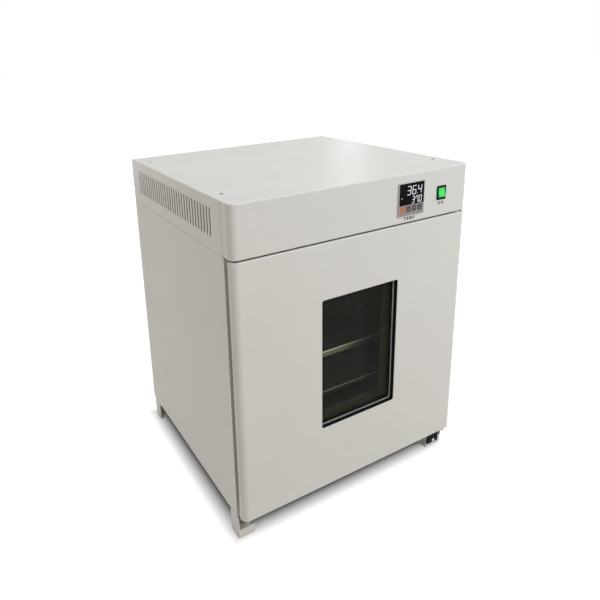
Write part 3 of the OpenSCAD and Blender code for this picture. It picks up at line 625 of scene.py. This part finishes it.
# %% Control fascia
FASCIA_GAUGE = 1.5
FRAME_OVER_HOLE = {"controller_body": 2.1, "switch_housing": 1.5}
cutter = bmesh.new()
fascia_low, fascia_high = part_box("control_fascia")
for node, overlap in FRAME_OVER_HOLE.items():
    low, high = grown(*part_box(node), -overlap)
    block(cutter, (low.x, fascia_low.y - CUT, low.z), (high.x, fascia_low.y + CUT, high.z))
fascia = folded_front("control_fascia", FASCIA_GAUGE, cutter)
fascia_mid_z = (fascia_low.z + fascia_high.z) / 2
soften(fascia, 1.3, lambda p: p.y > fascia_high.y - 0.1 * MM and abs(p.z - fascia_mid_z) < 10 * MM)
print("fascia:", len(fascia.data.polygons), "faces")

# %% Black strip under the fascia, painted shade in the gap
STRIP_END, STRIP_FRONT, STRIP_BACK = 8 * MM, 5 * MM, 10 * MM
# A black strip set in the gap above the door paints the gap's shade.
gap_shade_strip = bmesh.new()
block(gap_shade_strip, (fascia_low.x + STRIP_END, fascia_low.y + STRIP_FRONT, door_high.z + 0.8 * MM),
      (fascia_high.x - STRIP_END, fascia_low.y + STRIP_BACK, fascia_low.z))
finish_mesh(gap_shade_strip, "fascia_lip_strip", "control_fascia", black_rubber)
print("a rubber strip under the fascia")

# %% [markdown]
# ## Top cover
#
# The cover over the electrics is one sheet bent down at both sides, with a row of slots punched through
# each side to let warm air out. Punching leaves round slot ends, so each cutter is a bar whose corners are
# rounded almost to its full width, and it goes through both sides. All cutters are one mesh, because one
# cut is quicker than many. The cover's front edge is joggled, which means set back by a sheet's thickness,
# so that it reaches behind the fascia and no light falls through the seam.

# %% Top cover
SLOT_PITCH, SLOT_WIDTH, SLOT_HEIGHT = 13.8 * MM, 5 * MM, 58 * MM
SLOT_CORNER = SLOT_WIDTH / MM / 2 - 0.02
FIRST_SLOT, LAST_SLOT, SLOT_MIDDLE = 84 * MM, 50 * MM, 56 * MM
COVER_GAUGE = 1.2

cover_low, cover_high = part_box("top_cover")
bm = bmesh.new()
verts = block(bm, cover_low, (cover_high.x, cover_high.y - COVER_GAUGE * MM, cover_high.z))
open_sides = [f for f in bm.faces if f.normal.z < -0.9 or abs(f.normal.y) > 0.9]
bends = [e for e in edges_along(verts, 1) if e.verts[0].co.z > cover_low.z + MM]
bmesh.ops.delete(bm, geom=open_sides, context="FACES_ONLY")
round_edges(bm, bends, FOLD, 6)
rear_lip = [e for e in bm.edges if e.is_boundary and abs(e.calc_face_angle(0)) == 0
            and all(v.co.z > cover_high.z - 0.01 * MM and v.co.y > cover_high.y - 2 * MM for v in e.verts)]
grown_lip = bmesh.ops.extrude_edge_only(bm, edges=rear_lip)["geom"]
bmesh.ops.translate(bm, vec=(0, COVER_GAUGE * MM, 0), verts=only_verts(grown_lip))
cover = finish_mesh(bm, "top_cover_sheet", "top_cover", stands_for=("top_cover",))
give_gauge(cover, COVER_GAUGE)
print("cover without slots:", len(cover.data.polygons), "faces")

# %% Slots and screw holes of the cover
cutter = bmesh.new()
slot_z = cover_low.z + SLOT_MIDDLE
slot_y = door_low.y + FIRST_SLOT
slots = int((cover_high.y - LAST_SLOT - slot_y) / SLOT_PITCH) + 1
for i in range(slots):
    y = slot_y + i * SLOT_PITCH
    bar(cutter, (cover_low.x - MM, y - SLOT_WIDTH / 2, slot_z - SLOT_HEIGHT / 2),
        (cover_high.x + MM, y + SLOT_WIDTH / 2, slot_z + SLOT_HEIGHT / 2), 0, SLOT_CORNER, 5)
screws_low, screws_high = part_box("top_cover_screws")
HEAD_R, SHANK_R, SUNK = 4, 2, 0.15
screw_places = [(x, y) for x in inside(screws_low.x, screws_high.x, HEAD_R)
                for y in inside(screws_low.y, screws_high.y, HEAD_R)]
sink = [(0, 1), (HEAD_R + SUNK, 1), (HEAD_R + SUNK, -SUNK), (SHANK_R + SUNK, -COVER_GAUGE),
        (SHANK_R + SUNK, -3), (0, -3)]
for x, y in screw_places:
    turned(cutter, sink, (x, y, cover_high.z), steps=32)
carve(cover, cutter)
print("cover:", slots, "slots a side,", len(cover.data.polygons), "faces")

# %% Joggled front edge of the cover
JOGGLE_IN, JOGGLE_HALF, JOGGLE_REACH, JOGGLE_END = 2.1, 0.5 * MM, 5 * MM, 3
joggle_low, joggle_high = inside(fascia_low.z, fascia_high.z, JOGGLE_END)
seam_y = (fascia_high.y + cover_low.y) / 2
joggle = bmesh.new()
for x in inside(fascia_low.x, fascia_high.x, JOGGLE_IN):
    block(joggle, (x - JOGGLE_HALF, seam_y - JOGGLE_REACH, joggle_low),
          (x + JOGGLE_HALF, seam_y + JOGGLE_REACH, joggle_high))
finish_mesh(joggle, "cover_joggle", "top_cover")
print("joggled edges at y =", round(seam_y / MM, 1), "mm")

# %% [markdown]
# ## Screws
#
# Every screw has a cross recess, because the cabinet is put together with a power driver. A head is a short
# outline spun round its axis, and two crossed wedges cut the recess, one after the other, because a boolean
# can fail on a cutter that crosses itself. The cover's screws are sunk and blackened, and the others have a
# domed pan head. The screws of one node stay one piece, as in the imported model.

# %% Screws
RECESS_DEEP, ARM_SHARE, TAPER = 0.9, 0.16, (0.45, 0.7, 1)


def recess_wedge(bm, place, direction, spin, across_mm):
    """One arm of a cross recess: a wedge that narrows downwards, with its wide end just above place."""
    turn = Matrix.Translation(place) @ Vector(direction).to_track_quat("Z", "Y").to_matrix().to_4x4()
    half = across_mm / 2 * MM
    verts = block(bm, (-half, -ARM_SHARE * half, -RECESS_DEEP * MM), (half, ARM_SHARE * half, 0.3 * MM))
    low = [v for v in verts if v.co.z < 0]
    bmesh.ops.scale(bm, vec=TAPER, verts=low)
    bmesh.ops.transform(bm, matrix=turn @ Matrix.Rotation(radians(spin), 4, "Z"), verts=verts)


def make_screws(name, node, places, direction, outline, across_mm, material=None):
    """One piece with a screw at each place. outline runs from the head's tip to the shank's."""
    bm = bmesh.new()
    for place in places:
        turned(bm, outline, place, direction)
    piece = finish_mesh(bm, name, node, material, (node,), 35)
    for spin in (45, 135):
        cutter = bmesh.new()
        for place in places:
            top = Vector(place) + Vector(direction) * outline[0][1] * MM
            recess_wedge(cutter, top, direction, spin, across_mm)
        carve(piece, cutter)


SUNK_HEAD = [(0, 0), (3.7, 0), (3.97, -0.06), (2, -1.05), (2, -11), (1.4, -11.05), (0, -11.05)]
make_screws("cover_screws", "top_cover_screws", [(x, y, screws_high.z) for x, y in screw_places], (0, 0, 1),
            SUNK_HEAD, 4.4, black_oxide)
print(len(screw_places), "screws in the cover")

# %% Screws of the back, the door's liner and the hinge
PAN_HEAD = [(0, 2.0), (1.6, 1.95), (2.8, 1.6), (3.6, 0.95), (3.95, 0.35), (3.95, 0), (2, 0), (2, -1.15),
            (0, -1.15)]
side_low, side_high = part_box("side_panel_left")
BACK_MARGIN, LINER_MARGIN = 20, 30


def screw_columns(node, y, rows):
    """The places of two columns of screws, at the sides of the node's box."""
    low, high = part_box(node)
    return [(x, y, z) for x in inside(low.x, high.x, HEAD_R) for z in sorted(rows)]


screw_rows = (*inside(side_low.z, side_high.z, BACK_MARGIN), (side_low.z + side_high.z) / 2,
              cover_high.z - BACK_MARGIN * MM)
back_places = screw_columns("back_panel_screws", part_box("back_panel")[1].y, screw_rows)
make_screws("rear_screws", "back_panel_screws", back_places, (0, 1, 0), PAN_HEAD, 4.2)

liner_rows = (*inside(door_low.z, door_high.z, LINER_MARGIN), (door_low.z + door_high.z) / 2)
LINER_HEAD = [(0, 1.8), (1.6, 1.75), (2.8, 1.45), (3.6, 0.85), (3.95, 0.3), (3.95, 0), (1.6, 0),
              (1.6, -0.95), (0, -0.95)]
liner_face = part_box("door_liner_screws")[1].y - LINER_HEAD[0][1] * MM
liner_places = screw_columns("door_liner_screws", liner_face, liner_rows)
make_screws("liner_screws", "door_liner_screws", liner_places, (0, 1, 0), LINER_HEAD, 4.0)

hinge_middle = middle_of("hinge_bracket_screw")
hinge_place = (hinge_middle.x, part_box("hinge_bracket_screw")[1].y - 3.5 * MM, hinge_middle.z)
HINGE_HEAD = [(0, 2.2), (1.8, 2.15), (3.3, 1.75), (4.2, 1.0), (4.45, 0.35), (4.45, 0), (2.5, 0),
              (2.5, -3.45), (0, -3.45)]
make_screws("hinge_screw", "hinge_bracket_screw", [hinge_place], (0, -1, 0), HINGE_HEAD, 5.0)
print(len(back_places), "screws in the back,", len(liner_places), "in the door's liner, one in the hinge")

# %% [markdown]
# ## Controller
#
# A panel controller is a plastic case pushed through a square hole, with a thin frame in front. The smoked
# window hides everything but the lit figures. Four soft keys sit in a grey strip that lies a little proud
# of the frame. The strip is a bar with rounded corners and a hole for each key, and the other pieces are
# merged copies.

# %% Controller case and window
dressed("controller_body", 0.35, "controller_frame")
dressed("controller_display", 0.15, "display_window")
dressed("controller_clamp", 0.5, "clamp_frame")

case_low, case_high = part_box("controller_body")
display_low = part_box("controller_display")[0]
key_nodes = ("key_set", "key_shift", "key_down", "key_up")

STRIP_EDGE, STRIP_PROUD, STRIP_CORNER = 1.6 * MM, 0.12 * MM, 1.2
strip = bmesh.new()
bar(strip, (case_low.x + STRIP_EDGE, case_low.y - STRIP_PROUD, case_low.z + STRIP_EDGE),
    (case_high.x - STRIP_EDGE, case_low.y + 0.3 * MM, display_low.z - 0.6 * MM), 1, STRIP_CORNER)
strip_piece = finish_mesh(strip, "key_strip", "controller_body", strip_grey)
cutter = bmesh.new()
for node in key_nodes:
    low, high = grown(*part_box(node), 0.4)
    bar(cutter, (low.x, case_low.y - CUT, low.z), (high.x, case_low.y + CUT, high.z), 1, STRIP_CORNER)
carve(strip_piece, cutter)
print("controller frame, window and key strip")

# %% [markdown]
# ## Keys
#
# The keys are moulded in silicone. Each has a soft rim and a slightly dished top, so that a finger finds
# it. The marks on them are generic: a small square for set, and triangles for shift, down and up.

# %% Keys and their marks
DISH, KEY_CORNER, KEY_RIM, INK = 0.25, 1.0, 0.35, 0.05


def make_key(node):
    """A key cap: the middle of its front is pushed in a little, and the rim is rounded."""
    low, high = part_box(node)
    bm = bmesh.new()
    bar(bm, low, high, 1, KEY_CORNER)
    front = [f for f in bm.faces if f.calc_center_median().y < low.y + 0.01 * MM]
    inner = bmesh.ops.inset_region(bm, faces=front, thickness=1.0 * MM, depth=0, use_even_offset=True)
    rims = {e for f in inner["faces"] for e in f.edges if is_sharp(e, 30)}
    bmesh.ops.translate(bm, vec=(0, DISH * MM, 0), verts=list({v for f in front for v in f.verts}))
    round_edges(bm, {e for e in rims if e.is_valid}, KEY_RIM, 3)
    finish_mesh(bm, node + "_cap", node, stands_for=(node,), smooth=45)


def flat_mark(bm, corners, z_middle, x_middle, y_face):
    """A thin printed shape from its corners in millimetres."""
    verts = [bm.verts.new((x_middle + x * MM, y_face, z_middle + z * MM)) for x, z in corners]
    face = bm.faces.new(verts)
    made = bmesh.ops.extrude_face_region(bm, geom=[face])
    bmesh.ops.translate(bm, vec=(0, -INK * MM, 0), verts=only_verts(made["geom"]))


MARKS = {
    "key_set": [(-1.84, 1.84), (1.84, 1.84), (1.84, -1.84), (-1.84, -1.84)],
    "key_shift": [(-2.2, 0), (1.6, 2.4), (1.6, -2.4)],
    "key_down": [(0, -2.2), (2.6, 1.8), (-2.6, 1.8)],
    "key_up": [(0, 2.2), (2.6, -1.8), (-2.6, -1.8)],
}
for node, corners in MARKS.items():
    make_key(node)
    middle = middle_of(node)
    bm = bmesh.new()
    flat_mark(bm, corners, middle.z, middle.x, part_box(node)[0].y + (DISH - 0.01) * MM)
    finish_mesh(bm, node + "_mark", node, mark_pale)
print("four keys")

# %% [markdown]
# ## Lit figures
#
# Each figure has seven bars, and which of them are lit makes the number: the upper row is the temperature
# in the chamber and the lower row the one that is asked for. A bar is a thin lozenge with pointed ends, and
# the figure leans, as LED figures do. They lie on the window's face and not behind it, which looks the same
# and keeps them crisp. A dot at the left is the lamp that shows when the heater is on.

# %% Figures on the display
# Where each bar's middle is, in shares of the figure's half width and half height, and whether it stands.
BARS = {
    "top": (0, 1, False), "middle": (0, 0, False), "bottom": (0, -1, False),
    "upper_left": (-1, 0.5, True), "upper_right": (1, 0.5, True),
    "lower_left": (-1, -0.5, True), "lower_right": (1, -0.5, True),
}
LIT = {
    "0": "top bottom upper_left upper_right lower_left lower_right",
    "3": "top middle bottom upper_right lower_right",
    "4": "middle upper_left upper_right lower_right",
    "6": "top middle bottom upper_left lower_left lower_right",
    "7": "top upper_right lower_right upper_left",
}
LEAN = 0.12


def figure(bm, digit, x, z, width, height, stroke):
    """One leaning seven-bar figure whose lower left corner is at x, z, in millimetres on the display."""
    half_w, half_h = (width - stroke) / 2, (height - stroke) / 2
    for name in LIT[digit].split():
        across, up, stands = BARS[name]
        length = half_h if stands else 2 * half_w
        tip = stroke / 2
        corners = [(-length / 2 + 0.1, 0), (-length / 2 + tip, tip), (length / 2 - tip, tip),
                   (length / 2 - 0.1, 0), (length / 2 - tip, -tip), (-length / 2 + tip, -tip)]
        if stands:
            corners = [(b, a) for a, b in reversed(corners)]
        middle_x = x + width / 2 + across * half_w
        middle_z = z + height / 2 + up * half_h
        leaning = [(middle_x + a + LEAN * (middle_z + b - z - height / 2), middle_z + b) for a, b in corners]
        flat_mark(bm, leaning, display_low.z, display_low.x, display_low.y)


def dot(bm, x, z, size):
    """A square dot whose lower left corner is at x, z, in millimetres on the display."""
    corners = [(x, z), (x + size, z), (x + size, z + size), (x, z + size)]
    flat_mark(bm, corners, display_low.z, display_low.x, display_low.y)


bm = bmesh.new()
UPPER = {"digits": "364", "x": (21.5, 36, 51.5), "z": 21.5, "width": 10.8, "height": 19.2, "stroke": 1.45}
LOWER = {"digits": "370", "x": (35.5, 45.8, 56), "z": 2.4, "width": 7.4, "height": 15.4, "stroke": 1.3}
for row in (UPPER, LOWER):
    for digit, x in zip(row["digits"], row["x"]):
        figure(bm, digit, x, row["z"], row["width"], row["height"], row["stroke"])
    dot(bm, row["x"][2] - 2.4, row["z"] + 0.6, 1.5)
dot(bm, 6, 15.2, 1.9)
figures = finish_mesh(bm, "display_figures", "controller_display", figure_white)
print("figures:", len(figures.data.polygons), "faces")

# %% [markdown]
# ## Power switch
#
# A snap-in rocker switch: a black frame, and a clear green rocker with a lamp behind it. The rocker's face
# has two planes that meet at the middle, each hollowed a little for the finger. It is tipped so that the
# lower end stands out. A merged copy keeps the exact form that the joint turns, and only its edges are
# softened.

# %% Switch
switch_frame = dressed("switch_housing", 0.45, "switch_frame")
rocker = dressed("switch_rocker", 0.5, "lit_rocker", smooth=25)
print("switch:", len(switch_frame.data.polygons) + len(rocker.data.polygons), "faces")

# %% [markdown]
# ## Printed words
#
# The panel carries two short words in dark screen ink. They are generic: TEMP under the controller and ON
# under the switch. Blender's own font is turned into a mesh, and then laid on the panel's face.

# %% Words under the controller and the switch
FONT_SIZE_TO_CAPITAL = 1.4


def printed(word, name, x, z, height_mm):
    """A word in wide, bold capitals of this height, flat on the fascia."""
    letters = bpy.data.curves.new(name, "FONT")
    letters.body = word
    letters.size = height_mm * MM * FONT_SIZE_TO_CAPITAL
    letters.align_x = "CENTER"
    letters.align_y = "CENTER"
    letters.space_character = 1.6
    letters.offset = 0.5 * MM
    letters.extrude = 0.02 * MM
    item = put(name, letters)
    graph = bpy.context.evaluated_depsgraph_get()
    mesh = bpy.data.meshes.new_from_object(item.evaluated_get(graph))
    bpy.data.objects.remove(item)
    upright = Matrix.Rotation(radians(90), 4, "X")
    mesh.transform(Matrix.Translation((x, fascia_low.y - 0.01 * MM, z)) @ upright)
    finish_piece(mesh, name, "control_fascia", print_ink)


printed("TEMP", "word_temp", middle_of("controller_body").x - 2 * MM, case_low.z - 7 * MM, 6.4)
printed("ON", "word_on", middle_of("switch_housing").x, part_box("switch_housing")[0].z - 8 * MM, 6)
print("two words")

# %% [markdown]
# ## Window
#
# Looking in at an angle, the eye meets the cut edge of the sheet, a black rubber channel that holds the
# outer pane, a thin bright trim and the dark sleeve between the two panes. All of them are exact in the
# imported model, so they only need soft edges. The seal of the inner pane is dark grey like the door's
# gasket, so it hardly shows behind the glass.

# %% Window pieces
dressed("window_seal_outer", 0.5, "outer_glazing_rubber")
dressed("window_seal_inner", 0.5, "inner_glazing_rubber", gasket_rubber)
dressed("window_sleeve", 0, "window_lining")
dressed("window_trim", 0.4, "window_bright_line")
for node in ("glass_outer", "glass_inner"):
    dressed(node, 0.4, node + "_pane")
print("window dressed")

# %% [markdown]
# ## Seal of the door
#
# The gasket is a soft hollow strip with a magnet inside, welded at the corners. Its base is pressed into
# the door's liner, the thin neck lets it move, and the wide head meets the cabinet. It is grey and dull.

# %% Door seal
door_seal = dressed("door_gasket", 1.2, "door_seal", gasket_rubber, smooth=45)
print("seal:", len(door_seal.data.polygons), "faces")

# %% [markdown]
# ## The other rigid pieces
#
# The panels, feet, hinges, racks and electrics have their true form in the imported model. Each is a merged
# copy whose edges get the radius of its making, which the table gives: about half a millimetre on folded or
# cast parts, less on cut sheet. The chamber's sheet is the darker steel, painted shade. The deck under the
# electrics is a dull dark grey sheet that paints shade behind the slots, so hardly any light comes back
# through them.

# %% Panels, feet, hinges and inner pieces
RADIUS = {
    "door_liner": 0.4, "chamber_liner": 0.4, "front_frame": 0.2, "side_panel_left": 0.58,
    "side_panel_right": 0.58, "back_panel": 0.3, "base_panel": 0.3, "foot_front_left": 0.5,
    "foot_front_right": 0.5, "foot_rear_left": 0.5, "foot_rear_right": 0.5, "hinge_bracket_lower": 0.5,
    "hinge_plate_upper": 0.5, "hinge_pin_lower": 0.3, "hinge_pin_upper": 0.3, "hinge_bush_upper": 0.3,
    "hinge_bush_lower": 0.3, "control_deck": 0.2, "solid_state_relay": 0.6, "terminal_block": 0.4,
    "cable_gland": 0.5, "heating_element": 0, "heater_brackets": 0.2, "chamber_floor": 0.2,
    "temperature_probe": 0.3, "rack_left": 0.2, "rack_right": 0.2, "shelf_runners_upper": 0.2,
    "shelf_runners_lower": 0.2,
}
# The deck's dark sheet paints the shade behind the slots.
OTHER_FINISH = {"control_deck": deck_sheet_painted_shade}
# The chamber's pieces take the darker steel that paints the shade inside the chamber.
for node in ("chamber_liner", "chamber_floor", "rack_left", "rack_right", "shelf_runners_upper",
             "shelf_runners_lower"):
    OTHER_FINISH[node] = liner_steel_painted_shade
for node, radius in RADIUS.items():
    dressed(node, radius, material=OTHER_FINISH.get(node))
print(len(RADIUS), "pieces dressed")

# %% [markdown]
# ## Shelves
#
# A shelf is a perforated sheet with its front edge bent up as a lip, so that nothing slides off. The bend
# is rounded on the side that the eye sees. The thin light line along the top of the lip is a painted
# highlight: a narrow strip of bright metal on the lip.

# %% Shelves and their painted highlight strips
LIP_HEIGHT, EDGE_BELOW, EDGE_ABOVE = 14 * MM, 2.6 * MM, 0.8 * MM
for node in ("shelf_upper", "shelf_lower"):
    low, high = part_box(node)
    lip_top = low.z + LIP_HEIGHT
    shelf = dressed(node, 0, material=shelf_steel_painted_shade)
    soften(shelf, 1.4, lambda p: p.y < low.y + 0.1 * MM and p.z > lip_top - 0.1 * MM)
    # A strip of bright metal along the top of the lip paints the highlight of the bend.
    edge = bmesh.new()
    bar(edge, (low.x + 0.5 * MM, low.y - 0.1 * MM, lip_top - EDGE_BELOW),
        (high.x - 0.5 * MM, low.y + 0.2 * MM, lip_top - EDGE_ABOVE), 0, 0.1, 2)
    finish_mesh(edge, node + "_painted_highlight_strip", node, bright_trim)
print("two shelves")

# %% Slabs of wool
slabs = [node for node, slot in slot_of.items() if slot == "wool"]
for node in slabs:
    dressed(node, 0)
print(len(slabs), "slabs of wool")

# %% [markdown]
# ## Even shading
#
# Real sheet is flat right up to the bend. In a mesh, a smooth face takes the average direction of its
# neighbours at each corner, so a tiny bend would tint the whole panel. Weighting that average by area puts
# the panel first.

# %% Even shading for every new piece
for piece in made_pieces:
    modify(piece, "WEIGHTED_NORMAL", smooth=None, keep_sharp=True)
print(len(made_pieces), "pieces shaded evenly")

# %% [markdown]
# ## Floor and background
#
# The floor looks white, with a soft shadow under the cabinet that is partly real and partly painted. To the
# eye, through glass and in reflections it glows white, but not under the cabinet, where the grey floor takes
# its real shade. The distance to a rectangle round the feet, worked out from the floor's own coordinates,
# fades
# that glow over a few centimetres: that rectangle and its soft edge are a painted shadow. For light that
# bounces, the floor is a plain mid-grey, so the lower part of the sides stays darker, as in the photograph.
# The sky is the same: white to the eye, dimmer as a light.

# %% Floor and background
def seen_directly(tree):
    """1 for rays that show the background: to the camera, through glass or in a reflection."""
    mirrored = add(tree, "LightPath").outputs["Is Glossy Ray"]
    return add(tree, "Math", {0: seen_or_through_glass(tree), 1: mirrored}, operation="MAXIMUM").outputs[0]


# Where the painted shadow lies, and over what distance in metres its edge fades.
SHADOW_CENTRE = (-0.011, 0.007, 0)
SHADOW_HALF = (0.311, 0.281, 0)
FADE_START, FADE_END = -0.045, 0.003


def make_floor():
    """Mid-grey for bounced light. Seen directly it glows white outside the rectangle of the painted shadow.
    """
    material, tree, shader, place = start("pale_floor", "#9a9a96", 0.9, Specular_IOR_Level=0.1,
                                          Emission_Color=linear("#ffffff"))
    seen = seen_directly(tree)
    tone = add(tree, "Mix", {0: seen, 6: linear("#a99a82"), 7: linear("#8c8c8c")}, data_type="RGBA")
    centred = add(tree, "VectorMath", {0: place, 1: SHADOW_CENTRE}, operation="SUBTRACT")
    inward = add(tree, "VectorMath", {0: centred.outputs[0]}, operation="ABSOLUTE")
    past = add(tree, "VectorMath", {0: inward.outputs[0], 1: SHADOW_HALF}, operation="SUBTRACT")
    sides = add(tree, "SeparateXYZ", {0: past.outputs[0]})
    nearer = add(tree, "Math", {0: sides.outputs[0], 1: sides.outputs[1]}, operation="MAXIMUM")
    inside = add(tree, "Math", {0: nearer.outputs[0], 1: 0.0}, operation="MINIMUM")
    outside = add(tree, "VectorMath", {0: past.outputs[0], 1: (0, 0, 0)}, operation="MAXIMUM")
    away = add(tree, "VectorMath", {0: outside.outputs[0]}, operation="LENGTH")
    distance = add(tree, "Math", {0: inside.outputs[0], 1: away.outputs["Value"]}, operation="ADD")
    rise = add(tree, "MapRange", {"Value": distance.outputs[0], "From Min": FADE_START,
                                  "From Max": FADE_END, "To Min": 0.0, "To Max": 1.0})
    glow = add(tree, "Math", {0: rise.outputs["Result"], 1: seen}, operation="MULTIPLY")
    feed(tree, shader, {"Base Color": tone.outputs[2], "Emission Strength": glow.outputs[0]})
    return material


bm = bmesh.new()
bmesh.ops.create_grid(bm, x_segments=1, y_segments=1, size=30)
bmesh.ops.translate(bm, vec=(0, 0, cad_low.z), verts=bm.verts)
floor = put("floor", as_mesh(bm, "floor"))
floor.data.materials.append(make_floor())
print("floor at z =", cad_low.z)

# %% White surroundings
SKY_AS_LIGHT, SKY_AS_SEEN = 0.47, 1.0
world = bpy.data.worlds.new("studio")
scene.world = world
world.use_nodes = True
tree = world.node_tree
tree.nodes.clear()
level = add(tree, "MapRange", {"Value": seen_directly(tree), "To Min": SKY_AS_LIGHT, "To Max": SKY_AS_SEEN})
sky = add(tree, "Background", {"Color": linear("#ffffff"), "Strength": level.outputs["Result"]})
add(tree, "OutputWorld", {"Surface": sky.outputs[0]})
print("the sky lights at", SKY_AS_LIGHT)

# %% [markdown]
# ## Lamps
#
# One large softbox in front on the right does most of the work. One hangs overhead, a slightly warm one
# fills the left, and a low one behind keeps the back from going grey. A tall narrow strip far behind on the
# right gives hardly any light, but the top mirrors it as a soft bright streak, which shows the gloss.

# %% Lamps
def lamp(name, place, aim, width, height, watts, colour="#ffffff"):
    """A soft lamp, width by height metres, at place, that shines at aim."""
    light = bpy.data.lights.new(name, "AREA")
    light.shape = "RECTANGLE"
    light.size = width
    light.size_y = height
    light.energy = watts
    light.color = linear(colour)[:3]
    item = put(name, light)
    turn = (Vector(aim) - Vector(place)).to_track_quat("-Z", "Y")
    item.matrix_world = Matrix.Translation(place) @ turn.to_matrix().to_4x4()


lamp("front_softbox", (1.3, -2.4, 1.9), (0, 0, 0.35), 1.6, 1.6, 53, "#f3f8ff")
lamp("overhead_softbox", (0.2, 0.3, 2.8), (0, 0, 0.4), 2.2, 2.2, 12)
lamp("left_fill", (-2.5, -1.5, 1.6), (0, 0, 0.5), 1.4, 1.8, 12, "#fff9f0")
lamp("rear_fill", (0.2, 3.2, 0.36), (0, 0, 0.36), 2.0, 0.6, 16)
lamp("streak_strip", (2.0, 2.27, 1.3), (0.1, -0.08, 0.75), 0.24, 2.0, 1.5)
print("five lamps")
